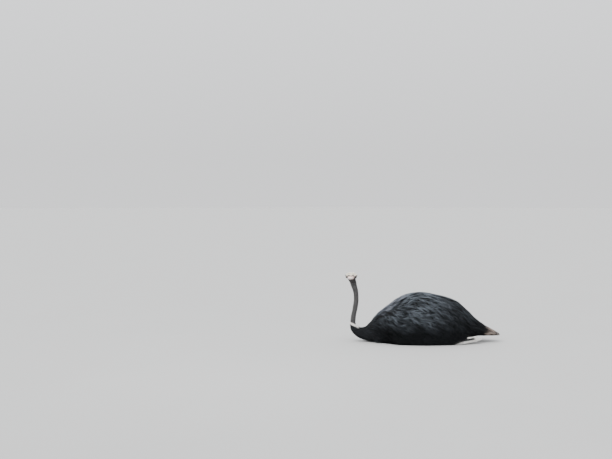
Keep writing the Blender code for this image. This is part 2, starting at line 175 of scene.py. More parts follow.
# The white plumes at the wing's end: x, distance from the middle, z, half
# height, half width.
WING_PLUMES = (
    (0.330, 0.250, 0.046, 0.040, 0.022), (0.420, 0.245, 0.050, 0.043, 0.026),
    (0.520, 0.215, 0.052, 0.038, 0.022), (0.600, 0.180, 0.052, 0.024, 0.014),
    (0.645, 0.158, 0.050, 0.008, 0.006),
)

# The leg's pieces: x, shift outwards, z, half width, half height.
LEG_Y, FOOT_X = 0.130, -0.070
LEG = {
    "shank": (
        (0.130, 0.016, 0.118, 0.048, 0.040), (0.220, 0.010, 0.112, 0.042, 0.033),
        (0.310, 0.003, 0.110, 0.035, 0.026), (0.372, 0.000, 0.106, 0.030, 0.021),
    ),
    "tarsus": (
        (0.412, 0.000, 0.052, 0.024, 0.026), (0.385, 0.000, 0.043, 0.037, 0.041),
        (0.330, 0.000, 0.036, 0.034, 0.036), (0.220, 0.000, 0.031, 0.024, 0.030),
        (0.080, 0.000, 0.030, 0.023, 0.029), (-0.020, 0.000, 0.031, 0.028, 0.031),
        (FOOT_X, 0.000, 0.028, 0.030, 0.028),
    ),
    "toe_inner": (
        (FOOT_X + 0.012, -0.010, 0.025, 0.021, 0.026), (-0.120, -0.012, 0.022, 0.031, 0.024),
        (-0.170, -0.012, 0.019, 0.030, 0.021), (-0.215, -0.010, 0.016, 0.024, 0.018),
        (-0.232, -0.009, 0.014, 0.016, 0.014),
    ),
    "toe_outer": (
        (FOOT_X + 0.012, 0.024, 0.018, 0.011, 0.018), (-0.100, 0.034, 0.016, 0.016, 0.017),
        (-0.135, 0.043, 0.013, 0.015, 0.014), (-0.158, 0.050, 0.010, 0.009, 0.010),
    ),
}
CLAW = {
    "claw_inner": (
        (-0.222, -0.009, 0.015, 0.011, 0.0105), (-0.245, -0.009, 0.013, 0.0125, 0.0095),
        (-0.268, -0.008, 0.010, 0.009, 0.0070), (-0.281, -0.007, 0.006, 0.003, 0.0035),
    ),
    "claw_outer": (
        (-0.153, 0.049, 0.010, 0.005, 0.006), (-0.164, 0.051, 0.008, 0.005, 0.0045),
        (-0.172, 0.053, 0.006, 0.002, 0.0022),
    ),
}

# ---- the coat ----------------------------------------------------------------
# By the distance along the body's axis from the tail tip: the spacing of the
# feathers, their length, their barbs' length, and how deep the coat is.
COAT = (
    (0.00, 0.022, 0.070, 0.026, 0.004), (0.10, 0.026, 0.120, 0.044, 0.010),
    (0.25, 0.036, 0.180, 0.070, 0.017), (0.45, 0.043, 0.215, 0.090, 0.022),
    (0.90, 0.044, 0.225, 0.098, 0.024), (1.22, 0.034, 0.190, 0.084, 0.022),
    (1.40, 0.0275, 0.130, 0.058, 0.018), (1.52, 0.022, 0.085, 0.032, 0.009),
    (1.62, 0.0155, 0.054, 0.019, 0.0045), (1.70, 0.0115, 0.038, 0.013, 0.003),
    (1.77, 0.0095, 0.026, 0.009, 0.003), (1.82, 0.009, 0.016, 0.006, 0.002),
    (2.60, 0.009, 0.012, 0.004, 0.002),
)
SPACING, LENGTH, BARB, DEPTH = 1, 2, 3, 4       # the columns of COAT
# Distances along the axis: where the tail's plumes begin and end, where the
# breast and the neck's base begin, and where no black plume grows any more.
TAIL_TIP_AT, TAIL_ROOT_AT, BREAST_AT, NECK_BASE_AT, BLACK_END_AT = 0.10, 0.36, 1.24, 1.50, 1.80
FLOOR_CLEAR = 0.0016    # how far plumes stay off the floor
SKIN_CLEAR = 0.004      # how far the body and the cores of the white plumes do
LEG_CLEAR = 0.0004      # and the legs and claws
DOWN = np.array((0.0, 0.0, -1.0))

# The white collar: its middle at the front of the neck and at the back of it.
COLLAR_FRONT = np.array((-0.824, 0.196))
COLLAR_BACK = np.array((-0.752, 0.166))

SKIN_STEPS = 196                        # points round each ring of the skin
FINE_STEPS = 1441                       # points round a ring before they are spaced evenly
FINE_FROM = 1.48                        # distance along the axis where the rings get closer
BODY_PITCH, NECK_PITCH = 0.012, 0.006   # between rings before that, and after it
HEAD_RINGS, HEAD_SPAN = 96, 0.15        # the head's rings, and the distance given to them
TWIST_Z = (0.42, 0.63)                  # heights between which the neck turns with the head
CROWN_DEPTH = 0.005
FACE_DEPTH = 0.0012


def coat_at(distance, column):
    """What a column of COAT gives at distances along the axis."""
    return np.interp(distance, *np.array(COAT).T[[0, column]])


def through(rows, shares):
    """Rows of a smooth curve through the given rows, at shares of its length.

    The first two numbers of a row are its place, and their distances set the
    pace of the curve.
    """
    rows = np.array(rows, float)
    steps = np.hypot(*(rows[1:, :2] - rows[:-1, :2]).T)
    knots = np.concatenate([[0], np.cumsum(steps)])
    slopes = np.gradient(rows, knots, axis=0)
    at = np.asarray(shares) * knots[-1]
    k = np.clip(np.searchsorted(knots, at, side="right") - 1, 0, len(knots) - 2)
    span = (knots[k + 1] - knots[k])[:, None]
    t = (at[:, None] - knots[k][:, None]) / span
    start = (2 * t**3 - 3 * t**2 + 1) * rows[k] + (t**3 - 2 * t**2 + t) * span * slopes[k]
    end = (3 * t**2 - 2 * t**3) * rows[k + 1] + (t**3 - t**2) * span * slopes[k + 1]
    return start + end


def section(up, down, side, angle, square=0.0, brow=0.0):
    """Offsets to the right and upwards round one section, at angles from its top."""
    c, s = np.cos(angle), np.sin(angle)
    power = 1 - SQUARENESS * np.where(c >= 0, brow, square)
    across = side * np.sign(s) * np.abs(s) ** power
    return across, np.where(c >= 0, up, down) * np.sign(c) * np.abs(c) ** power


def in_head(points):
    """Places in the head's own frame: forwards, to the right, up."""
    return (points - HEAD_CENTRE) @ HEAD_AXES.T


def from_head(places):
    """Places of the head's own frame, in the bird's."""
    return HEAD_CENTRE + np.asarray(places) @ HEAD_AXES


# ---- a surface to lay things on ----------------------------------------------
class Surface:
    """Rings of points along a form, with what is needed to move about on it."""

    def __init__(self, points, **fields):
        self.points = points
        self.fields = fields
        self.rings, self.steps = points.shape[:2]
        self.measure()

    def measure(self):
        """Works out the directions along, round and out of the surface."""
        self.along = np.gradient(self.points, axis=0)
        self.round = (np.roll(self.points, -1, 1) - np.roll(self.points, 1, 1)) / 2
        self.out = unit(np.cross(self.round, self.along))

    def at(self, field, places):
        """What a field of the grid holds at places (ring, step), between its points."""
        ring = np.clip(places[..., 0], 0, self.rings - 1.001)
        step = places[..., 1] % self.steps
        i, j = ring.astype(int), step.astype(int) % self.steps
        a, b = ring - i, step - np.floor(step)
        if field.ndim == 3:
            a, b = a[..., None], b[..., None]
        j2 = (j + 1) % self.steps
        near = field[i, j] * (1 - b) + field[i, j2] * b
        return near * (1 - a) + (field[i + 1, j] * (1 - b) + field[i + 1, j2] * b) * a

    def shift(self, places, heading):
        """How far a move over the surface, in metres, goes over its grid."""
        u, v = self.at(self.along, places), self.at(self.round, places)
        uu, uv, vv = dot(u, u), dot(u, v), dot(v, v)
        hu, hv = dot(heading, u), dot(heading, v)
        size = np.maximum(uu * vv - uv * uv, 1e-14)
        return np.stack([(vv * hu - uv * hv) / size, (uu * hv - uv * hu) / size], axis=-1)

    def point(self, places):
        """The surface's points at places."""
        return self.at(self.points, places)

    def outward(self, places):
        """The way straight out of the surface at places."""
        return unit(self.at(self.out, places))

    def lay(self, places, heights):
        """Points at heights over the surface, clear of the floor, and the way out there."""
        out = self.outward(places)
        points = self.point(places) + out * heights[..., None]
        points[..., 2] = np.maximum(points[..., 2], FLOOR_CLEAR)
        return points, out


def even_ring(points, angles, steps):
    """A closed ring's points and angles, at even distances round it."""
    gone = np.concatenate([[0], np.cumsum(np.linalg.norm(np.diff(points, axis=0), axis=1))])
    at = np.linspace(0, gone[-1], steps, endpoint=False)
    spread = [np.interp(at, gone, column) for column in (*points.T, angles)]
    return np.stack(spread[:3], axis=1), spread[3]


def body_rings():
    """The solids' rings from the tail to the bill: points, angles, distance from the tail tip."""
    length = np.hypot(*np.diff(np.array(BODY)[:, :2], axis=0).T).sum()
    at = np.concatenate([np.arange(0, FINE_FROM, BODY_PITCH),
                         np.arange(FINE_FROM, length - BODY_PITCH, NECK_PITCH)])
    rows = through(BODY, at / length)
    tangents = np.gradient(rows[:, :2], axis=0)
    fine = np.linspace(0, 2 * math.pi, FINE_STEPS)
    rings, angles = [], []
    for (x, z, up, down, side, square), tangent in zip(rows, tangents):
        along = unit(np.array((tangent[0], 0, tangent[1])))
        dorsal = np.cross((0, 1, 0), along)
        twist = HEAD_TWIST * smoothstep(*TWIST_Z, z)
        across, rise = section(up, down, side, fine + twist, square)
        ring = np.array((x, 0, z)) + across[:, None] * (0, 1, 0) + rise[:, None] * dorsal
        ring[:, 2] = np.maximum(ring[:, 2], 0)
        ring, angle = even_ring(ring, fine, SKIN_STEPS)
        rings.append(ring)
        angles.append(angle)
    neck_top = rings[-1].mean(axis=0)
    rise = unit(np.array((tangents[-1][0], 0, tangents[-1][1])))
    head = through(SKULL, np.linspace(0, 1, HEAD_RINGS))
    for top_x, top_z, low_x, low_z, wide, shift, brow in head:
        across, b = section(0.5, 0.5, wide, fine, 0.0, brow)
        places = np.stack([low_x + (top_x - low_x) * (0.5 + b), shift + across,
                           low_z + (top_z - low_z) * (0.5 + b)], axis=1)
        ring, angle = even_ring(from_head(places), fine, SKIN_STEPS)
        # Rings that would cross the top of the neck stay above it.
        lift = np.maximum(0, NECK_PITCH - (ring - neck_top) @ rise)
        rings.append(ring + lift[:, None] * rise)
        angles.append(angle)
    distance = np.concatenate([at, at[-1] + NECK_PITCH + np.linspace(0, HEAD_SPAN, HEAD_RINGS)])
    return np.array(rings), np.array(angles), distance, len(rows)


def blur_along(points, start, end, times):
    """Evens out some rings of a grid along it."""
    for _ in range(times):
        inner = points[start:end]
        points[start:end] = (points[start - 1:end - 1] + 2 * inner + points[start + 1:end + 1]) / 4


def wing_swell(points, angles):
    """How far the folded wing stands off the trunk at each point of the grid."""
    along = (points[..., 0] - WING_FRONT_X) / (WING_REAR_X - WING_FRONT_X)
    stations, tops, lows, shares = np.array(WING).T
    turned = np.degrees(np.minimum(angles, 2 * math.pi - angles))
    top, low = np.interp(along, stations, tops), np.interp(along, stations, lows)
    down = (turned - top) / (low - top)
    depth = WING_DEPTH * np.interp(along, stations, shares)
    body = np.sin(math.pi * np.clip(down, 0, 1) / 1.28) ** 0.55
    edge = window(down, -0.03, 0.05, 0.94, 1.06)
    ends = window(along, -0.01, 0.05, 0.93, 1.01)
    return (WING_EDGE + depth * body) * edge * ends


def skin_surface():
    """The skin: the solids' surface with the wings on it, drawn in by the coat's depth."""
    points, angles, distance, neck_rings = body_rings()
    blur_along(points, neck_rings - 6, neck_rings + 8, 10)
    surface = Surface(points)
    swell = wing_swell(points, angles)
    surface.points = points + surface.out * swell[..., None]
    surface.measure()
    depth = coat_at(distance, DEPTH)[:, None] * np.ones(surface.steps)
    local = in_head(surface.points)
    on_head = smoothstep(distance[neck_rings - 12], distance[neck_rings + 10], distance)[:, None]
    crown = smoothstep(0.1, 0.6, surface.out[..., 2]) * (1 - smoothstep(0.022, 0.036, local[..., 0]))
    depth = depth * (1 - on_head) + on_head * (FACE_DEPTH + (CROWN_DEPTH - FACE_DEPTH) * crown)
    near_floor = 1 - smoothstep(0.0, 0.10, surface.points[..., 2])
    crest = smoothstep(0.15, 0.75, surface.out[..., 2]) * (surface.points[..., 0] > -0.70)
    depth = depth * (1 - 0.7 * near_floor) * (1 - 0.50 * crest)
    inner = surface.points - surface.out * depth[..., None]
    inner[..., 2] = np.maximum(inner[..., 2], SKIN_CLEAR)
    skin = Surface(inner, depth=depth, swell=swell, angle=angles)
    skin.distance = distance
    skin.neck_rings = neck_rings
    return skin


# ---- meshes from arrays -------------------------------------------------------
UV_NAME = "OFBake"
PATCH = 0.003           # a feather's patch on the bake map
WHOLE_MAP = (0.01, 0.98, 0.01, 0.98)    # left, width, bottom, height on the map
BODY_MAP = (0.01, 0.98, 0.15, 0.84)
LID_MAP = {"left": (0.02, 0.10, 0.02, 0.10), "right": (0.14, 0.10, 0.02, 0.10)}
WING_TIP_MAP = {"left": (0.77, 0.10, 0.02, 0.11), "right": (0.88, 0.10, 0.02, 0.11)}


def mesh_object(name, points, faces, corners, material, slot, **fields):
    """A piece of mesh: its points, its faces, their corners on the map, and values at its points."""
    mesh = bpy.data.meshes.new(name)
    mesh.vertices.add(len(points))
    mesh.vertices.foreach_set("co", np.ascontiguousarray(points, np.float32).ravel())
    mesh.loops.add(faces.size)
    mesh.loops.foreach_set("vertex_index", np.ascontiguousarray(faces, np.int32).ravel())
    mesh.polygons.add(len(faces))
    mesh.polygons.foreach_set("loop_start", np.arange(0, faces.size, faces.shape[1], dtype=np.int32))
    for field, values in fields.items():
        held = mesh.attributes.new(field, "FLOAT", "POINT")
        held.data.foreach_set("value", np.ascontiguousarray(values, np.float32).ravel())
    layer = mesh.uv_layers.new(name=UV_NAME)
    layer.data.foreach_set("uv", np.ascontiguousarray(np.clip(corners, 0, 1), np.float32).ravel())
    mesh.materials.append(material)
    mesh.update(calc_edges=True)
    mesh.shade_smooth()
    piece = bpy.data.objects.new(name, mesh)
    bpy.context.scene.collection.objects.link(piece)
    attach(piece, "root")
    return piece


def grid_nodes(rings, steps):
    """The ring and the step of each of the four corners, for all faces of a grid of closed rings."""
    i, j = (index.ravel() for index in np.indices((rings - 1, steps)))
    return [(i, j), (i, j + 1), (i + 1, j + 1), (i + 1, j)]


def grid_faces(rings, steps):
    """The faces of a grid of closed rings, as the numbers of their points."""
    return np.stack([a * steps + b % steps for a, b in grid_nodes(rings, steps)], axis=1)


class Parts:
    """What is to be one mesh: the points, faces, corners on the map and fields of each part."""

    def __init__(self):
        self.parts = []
        self.count = 0

    def keep(self, points, faces, corners, fields):
        """Keeps a part whose faces count from its own first point."""
        points = points.reshape(-1, 3)
        self.parts.append((points, faces + self.count, corners.reshape(-1, 2), fields))
        self.count += len(points)

    def piece(self, name, material, slot):
        """One piece of mesh; a field is nought on the parts that don't have it."""
        points, faces, corners, held = zip(*self.parts)
        fields = {}
        for key in sorted({key for values in held for key in values}):
            fields[key] = np.concatenate([values[key].ravel() if key in values else np.zeros(len(part))
                                          for values, part in zip(held, points)])
        return mesh_object(name, np.concatenate(points), np.concatenate(faces),
                           np.concatenate(corners), material, slot, **fields)


class Joined(Parts):
    """Several grids of closed rings, to be one mesh."""

    def grid(self, points, place, **fields):
        """Adds a grid of rings; place is its rectangle on the map: left, width, bottom, height."""
        rings, steps = points.shape[:2]
        left, width, bottom, height = place
        corners = [np.stack([left + width * a / (rings - 1), bottom + height * b / steps], axis=1)
                   for a, b in grid_nodes(rings, steps)]
        blank = np.zeros((rings, steps))
        self.keep(points, grid_faces(rings, steps), np.stack(corners, axis=1),
                  {name: blank + values for name, values in fields.items()})


def grid_piece(name, points, material, slot, **fields):
    """A piece of one grid of closed rings."""
    joined = Joined()
    joined.grid(points, WHOLE_MAP, **fields)
    return joined.piece(name, material, slot)


def map_place(surface, places, area=BODY_MAP):
    """Where places on a surface are on the bake map."""
    left, width, bottom, height = area
    ring = np.clip(places[..., 0] / (surface.rings - 1), 0, 1)
    step = (places[..., 1] / surface.steps) % 1
    return np.stack([left + width * ring, bottom + height * step], axis=-1)


class Coat(Parts):
    """Closed three-sided spikes, to be one piece of the coat."""

    def add(self, lines, out, width, roots, **fields):
        """Adds spikes along centre lines (n, k, 3), as wide as width (n, k) at their points.

        out is the way their ridges face, and roots is where they are on the map.
        """
        n, k = lines.shape[:2]
        ahead = unit(np.gradient(lines, axis=1))
        across = unit(np.cross(ahead, out))
        ridge = np.cross(across, ahead)
        w = width[..., None]
        rings = np.stack([lines - across * w, lines + across * w, lines + ridge * w], axis=2)
        points = np.concatenate([rings[:, :-1].reshape(n, -1, 3), lines[:, -1:]], axis=1)
        tip, shape = 3 * (k - 1), [(0, 1, 2)]
        for a in range(k - 2):
            for s in range(3):
                p, q = 3 * a + s, 3 * a + (s + 1) % 3
                shape += [(p, q + 3, q), (p, p + 3, q + 3)]
        shape += [(tip - 3 + s, tip, tip - 3 + (s + 1) % 3) for s in range(3)]
        shape = np.array(shape)
        each = points.shape[1]
        faces = (np.arange(n)[:, None, None] * each + shape).reshape(-1, 3)
        t = np.linspace(0, 0.9, k)[:-1, None] + np.array((0, 0, 0.1))
        s = np.zeros((k - 1, 1)) + np.array((0, 1, 0.5))
        local = np.concatenate([np.stack([t, s], axis=-1).reshape(-1, 2), [(1, 0.5)]]) - 0.5
        spots = roots[:, None] + local * PATCH
        gone = np.concatenate([np.repeat(np.linspace(0, 1, k)[:-1], 3), [1]])
        held = {"gone": np.broadcast_to(gone, (n, each))}
        for name, values in fields.items():
            values = np.asarray(values, float)
            if values.ndim == 1:
                values = np.broadcast_to(values[:, None], (n, k))
            held[name] = np.concatenate([np.repeat(values[:, :-1], 3, axis=1), values[:, -1:]], axis=1)
        self.keep(points, faces, spots[:, shape.ravel()], held)


# ---- markings, and painted light and shade, shared by the skin and the coat ---
def above_collar(points):
    """How far points on the neck are above the slanting line where black feathers end."""
    slope = (COLLAR_BACK[1] - COLLAR_FRONT[1]) / (COLLAR_BACK[0] - COLLAR_FRONT[0])
    return points[..., 2] - (COLLAR_FRONT[1] + slope * (points[..., 0] - COLLAR_FRONT[0]))


def wing_end(points):
    """The low strip by the wing's end where white plumes lie over the black ones."""
    x, y, z = np.moveaxis(points, -1, 0)
    under = np.minimum(0.42 * (x - 0.325), 0.034) - z
    return smoothstep(-0.003, 0.005, under) * smoothstep(0.15, 0.19, np.abs(y)) * (x < 0.60)


def pale_end(points):
    """How far into the pale end of the tail points are."""
    return smoothstep(0.715, 0.765, points[..., 0])


def behind_neck(points):
    """Nought on the neck, and one on the body behind it."""
    return smoothstep(-0.735, -0.715, points[..., 0])


def blackness(points):
    """How black the plumage is at points: all of the body below the collar, but not the tail's end."""
    below = np.maximum(1 - smoothstep(-0.004, 0.004, above_collar(points)), behind_neck(points))
    return below * (1 - pale_end(points))


def whiteness(points):
    """The white collar, the wing's white edge and the pale end of the tail."""
    collar = window(above_collar(points), -0.010, -0.002, 0.020, 0.030) * (1 - behind_neck(points))
    return np.maximum.reduce([collar, wing_end(points), pale_end(points)])


def shoulder_sheen_and_shade(points):
    """Painted light over the shoulder: a violet painted sheen, and a painted shade line along the wing's
    front edge under it.
    """
    x, _, z = np.moveaxis(points, -1, 0)
    over = z - np.interp(x, (-0.476, -0.365, -0.220), (0.287, 0.365, 0.494))
    ahead = window(x, -0.52, -0.46, -0.26, -0.12)
    return smoothstep(0.004, 0.026, over) * ahead, bell(over, 0.011) * ahead


def mouth_height(x):
    """How high the line of the mouth is on the cheek, going forwards."""
    return GAPE_Z - 0.004 * (1 - smoothstep(0.004, 0.034, x))


def face_marks(points):
    """The cream crown and brows, the dusky skin about the eyes, the pink about the bill, painted shade along
    the mouth's crease, and painted shade on the throat under the bill.
    """
    x, y, z = np.moveaxis(in_head(points), -1, 0)
    on_head = smoothstep(-0.075, -0.045, z)
    beside = smoothstep(0.026, 0.034, np.abs(y)) * smoothstep(-0.040, -0.020, x)
    wander = 0.004 * np.sin(260 * y + 190 * x) * np.sin(140 * x - 90 * y)
    crown = smoothstep(0.006, 0.025, z + 0.15 * x + 0.003 * beside + wander) * on_head
    round_eye = np.hypot((x - 0.004) / 0.027, (z + 0.007) / 0.022)
    cheek = np.hypot((x + 0.002) / 0.028, (z + 0.030) / 0.015)
    dusk = np.maximum.reduce([1 - smoothstep(0.62, 1.22, d) for d in (round_eye, cheek)])
    dusk = dusk * smoothstep(0.015, 0.028, np.abs(y)) * (1 - 0.9 * crown)
    lore = 1 - smoothstep(0.25, 1.35, np.hypot((x - 0.038) / 0.013, (z - 0.011) / 0.011) + 20 * wander)
    lore = lore * smoothstep(0.010, 0.021, np.abs(y))
    crown = crown * (1 - 0.70 * lore)
    dusk = np.maximum(dusk, 0.9 * lore)
    # A dark line along the mouth's crease on the cheek: painted shade, joined to the dusky skin.
    gape = bell(z - mouth_height(x), 0.0012) * smoothstep(0.002, 0.010, x)
    dusk = np.maximum(dusk, gape * smoothstep(0.015, 0.022, np.abs(y)))
    flush = smoothstep(0.012, 0.040, x) * on_head * (1 - smoothstep(0.008, 0.026, z))
    # Painted shade on the throat under the bill, over skin a little darker there.
    throat = (1 - smoothstep(-0.044, -0.034, z)) * smoothstep(-0.075, -0.045, x)
    return crown, dusk, flush, throat * smoothstep(-0.115, -0.060, z)


# ---- the skin ------------------------------------------------------------------
EYE_FORWARD = math.radians(12)
EYE_OPENING = (0.0170, 0.0140)  # half length and half height between the lids
LID_RADIUS = 0.0264
LID_RISE = 0.0015
LID_REACH = (0.040, 0.030)      # half length and half height of the skin shaped as lids
EAR_PLACE = np.array((-0.044, -0.014))  # forwards, up
EAR_RADIUS = 0.0052
LID_RINGS, LID_STEPS = 34, 120
RAY_START = 0.08        # how far out from an eye's middle the rays to the head's skin start
BEHIND_EYE = -0.02      # farther back along an eye's gaze is the other side of the head


def eye_axes(side):
    """The gaze of one eye, the way forwards across it, and up, in the bird's frame."""
    gaze = np.array((math.sin(EYE_FORWARD), side * math.cos(EYE_FORWARD), 0)) @ HEAD_AXES
    ahead = np.array((math.cos(EYE_FORWARD), -side * math.sin(EYE_FORWARD), 0)) @ HEAD_AXES
    return gaze, ahead, UPWARD


def eye_plane(points, label):
    """How far points are forwards of an eye, above it, and out along its gaze."""
    gaze, ahead, up = eye_axes(SIDES[label])
    away = points - EYE[label]
    return away @ ahead, away @ up, away @ gaze


def shape_head(skin):
    """Works the ears, the mouth, the room for the lids, and the neck's grooves and wrinkles into the skin."""
    local = in_head(skin.points)
    x, y, z = np.moveaxis(local, -1, 0)
    sunk = np.zeros(x.shape)
    ear = np.hypot(x - EAR_PLACE[0], z - EAR_PLACE[1])
    beside = smoothstep(0.020, 0.030, np.abs(y))
    sunk += beside * 0.0065 * (1 - smoothstep(0.35, 1.0, ear / EAR_RADIUS))
    sunk -= beside * 0.0012 * bell(ear - 1.35 * EAR_RADIUS, 0.0016)
    mouth = mouth_height(x)
    gape = bell(z - mouth, 0.0016) * smoothstep(0.004, 0.014, x)
    sunk += 0.0026 * gape * smoothstep(0.012, 0.020, np.abs(y))
    sunk -= 0.0010 * bell(z - mouth - 0.0042, 0.0020) * smoothstep(0.004, 0.014, x)
    for label in SIDES:
        ahead, up, out = eye_plane(skin.points, label)
        inside = np.hypot(ahead / LID_REACH[0], (up - LID_RISE) / LID_REACH[1])
        near = (out > BEHIND_EYE) & (np.sign(y) == SIDES[label])
        sunk += np.where(near, 0.0022 * (1 - smoothstep(0.72, 0.94, inside)), 0)
    along_neck = smoothstep(0.20, 0.28, skin.points[..., 2]) * (1 - smoothstep(-0.09, -0.04, z))
    on_neck = along_neck * (skin.points[..., 0] < -0.70)
    turn = skin.fields["angle"]
    groove = bell(np.abs(np.mod(turn, 2 * math.pi) - math.pi) - 1.25, 0.22)
    sunk += on_neck * 0.0016 * groove
    distance = skin.distance[:, None]
    ripple = np.sin(distance * 540 + 2.2 * np.sin(turn * 2 + distance * 30)) * np.sin(distance * 97 + turn)
    sunk += on_neck * 0.00050 * ripple
    sunk += on_neck * 0.0007 * (1 + np.sin(distance * 41 + 0.7 * np.sin(2 * turn)))
    skin.points = skin.points - skin.out * sunk[..., None]
    skin.measure()


def closed_ends(points, start=(0.6, 0.05), end=(0.6, 0.05), dip=0.0):
    """The same rings with smaller ones that close both ends."""
    rings = [points]
    for scale in start:
        middle_of = points[0].mean(axis=0)
        rings.insert(0, (middle_of + (points[0] - middle_of) * scale)[None])
    inward = unit(points[-2].mean(axis=0) - points[-1].mean(axis=0)) * dip
    for scale in end:
        middle_of = points[-1].mean(axis=0)
        rings.append((middle_of + (points[-1] - middle_of) * scale + inward * (1 - scale))[None])
    return np.concatenate(rings)


def skin_tree(skin):
    """What rays meet on the skin of the head."""
    first = skin.neck_rings - 10
    points = skin.points[first:]
    return BVHTree.FromPolygons(points.reshape(-1, 3).tolist(), grid_faces(*points.shape[:2]).tolist())


def smooth_max(a, b, reach):
    """The larger of two heights, with a fillet where they cross."""
    return np.maximum(a, b) + np.maximum(reach - np.abs(a - b), 0) ** 2 / (4 * reach)


def from_eye(label, spots, out):
    """Points by an eye: spots are forwards and up across its gaze, and out is along it."""
    gaze, ahead, up = eye_axes(SIDES[label])
    return EYE[label] + spots[:, :1] * ahead + spots[:, 1:] * up + out[:, None] * gaze


def lid_grid(tree, label):
    """The lids of one eye: rings from inside their rim out to the skin of the head."""
    gaze, ahead, up = eye_axes(SIDES[label])
    angle = turns(LID_STEPS)
    c, s = np.cos(angle), np.sin(angle)
    rim = np.stack([EYE_OPENING[0] * c, EYE_OPENING[1] * np.sign(s) * np.abs(s) ** 1.12], axis=1)
    outer = np.stack([LID_REACH[0] * c, LID_REACH[1] * s + LID_RISE], axis=1)
    grid, far = [], []
    for k in range(LID_RINGS):
        share = (k / (LID_RINGS - 1)) ** 1.25
        spots = rim * (1 - share) + outer * share
        gone = np.linalg.norm(spots - rim, axis=1)
        out = np.empty(LID_STEPS)
        for i, (a, b) in enumerate(spots):
            start = EYE[label] + ahead * a + up * b + gaze * RAY_START
            hit = tree.ray_cast(Vector(start), Vector(-gaze))[0]
            if hit is None:
                hit = tree.find_nearest(Vector(start - gaze * (RAY_START - 0.005)))[0]
            out[i] = (np.array(hit) - EYE[label]) @ gaze
        ball = LID_RADIUS**2 - spots[:, 0] ** 2 - (spots[:, 1] - LID_RISE) ** 2
        lid = np.where(ball > 0, np.sqrt(np.maximum(ball, 0)), -0.02)
        height = smooth_max(lid, out + 0.00035, 0.010)
        above = np.clip(s, 0, 1)
        below = np.clip(-s, 0, 1)
        fade = 1 - smoothstep(0.012, 0.022, gone)
        for place, deep, where in ((0.0042, 0.0009, above), (0.0080, 0.0007, above**2),
                                   (0.0030, 0.0006, below), (0.0062, 0.0007, below), (0.0098, 0.0005, below)):
            wander = place * (1 + 0.08 * np.sin(3 * angle + 40 * place))
            height -= fade * deep * where * bell(gone - wander, 0.0009)
        height += 0.0016 * above**2 * bell(gone - 0.0115, 0.0032)
        height += 0.00022 * np.sin(angle * 31 + gone * 900) * smoothstep(0.001, 0.004, gone) * fade
        height = np.where(share > 0.97, out - 0.0004, height)
        grid.append(from_eye(label, spots, height))
        far.append(gone)
    # The rim turns in to the eyeball.
    edge = []
    for scale, proud in ((0.93, -0.0016), (0.965, 0.0006), (0.985, 0.0018)):
        spots = rim * scale
        ball = np.sqrt(EYE_RADIUS**2 - (spots**2).sum(axis=1)) + proud
        edge.append(from_eye(label, spots, ball))
    return np.array(edge + grid), np.array([np.zeros(LID_STEPS)] * len(edge) + far)


LIMB_RINGS, CLAW_RINGS, CLAW_STEPS = 60, 26, 28
SCUTE_DEPTH, SCUTE_LENGTH = 0.0012, 0.0085


def limb_grid(rows, side, rings, steps=36, shrink=0.98, scutes=0.0):
    """A limb's rings, with broad scutes of a depth across its upper face."""
    angle = turns(steps)
    grid, gone = [], 0.0
    made = through(np.array(rows)[:, [0, 2, 1, 3, 4]], np.linspace(0, 1, rings))
    for i, (x, z, out, wide, high) in enumerate(made):
        across, rise = section(high * shrink, high * shrink, wide * shrink, angle, 0.15)
        gone += abs(x - made[max(i - 1, 0)][0])
        plate = scutes * (gone / SCUTE_LENGTH % 1) * smoothstep(0.2, 0.7, np.cos(angle))
        size = 1 + plate / high
        points = np.stack([np.full(steps, x), side * (LEG_Y + out) + across * size, z + rise * size], axis=1)
        points[:, 2] = np.maximum(points[:, 2], LEG_CLEAR)
        grid.append(points)
    return np.array(grid)


def build_skin(skin, material):
    """One skin for the body, the wings, the neck, the head and the legs; gives back the grids of its lids."""
    shape_head(skin)
    body = closed_ends(skin.points, end=(0.975, 0.90, 0.5, 0.03), dip=0.004)
    joined = Joined()
    crown, dusk, flush, throat = face_marks(body)
    joined.grid(body, BODY_MAP, black=blackness(body), white=whiteness(body),
                crown=crown, dusk=dusk, flush=flush, throat=throat)
    tree = skin_tree(skin)
    lids = {}
    for n, (label, side) in enumerate(SIDES.items()):
        grid, gone = lid_grid(tree, label)
        lids[label] = grid
        crown, dusk, flush, throat = face_marks(grid)
        rim = 1 - smoothstep(0.0004, 0.0022, gone)
        joined.grid(grid, LID_MAP[label], crown=crown * (1 - rim), flush=flush,
                    dusk=np.maximum(dusk, rim), rim=rim)
        core = closed_ends(wing_plume_surface(side).points)
        joined.grid(core, WING_TIP_MAP[label], white=1 - wing_gap(core), black=wing_gap(core))
        for m, (name, rows) in enumerate(LEG.items()):
            scutes = 0.0 if name == "shank" else SCUTE_DEPTH
            limb = closed_ends(limb_grid(rows, side, LIMB_RINGS, scutes=scutes))
            joined.grid(limb, (0.26 + 0.125 * m, 0.115, 0.02 + 0.06 * n, 0.05), leg=1.0)
    piece = joined.piece("skin", material, "bare_skin")
    flesh = ["trunk", "tail", "neck_base", "neck_lower", "neck_upper", "head"]
    for label in SIDES:
        flesh += [f"{name}_{label}" for name in ("wing", "shank", "tarsus", "toe_inner", "toe_outer")]
    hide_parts(*flesh)
    return lids


# ---- eyes, bill and claws --------------------------------------------------------
IRIS_RADIUS = 0.0148
PUPIL_EDGE = (0.0064, 0.0071)       # radii between which the pupil turns into the iris
CORNEA_RISE = 0.0012
EYE_STEPS = 96


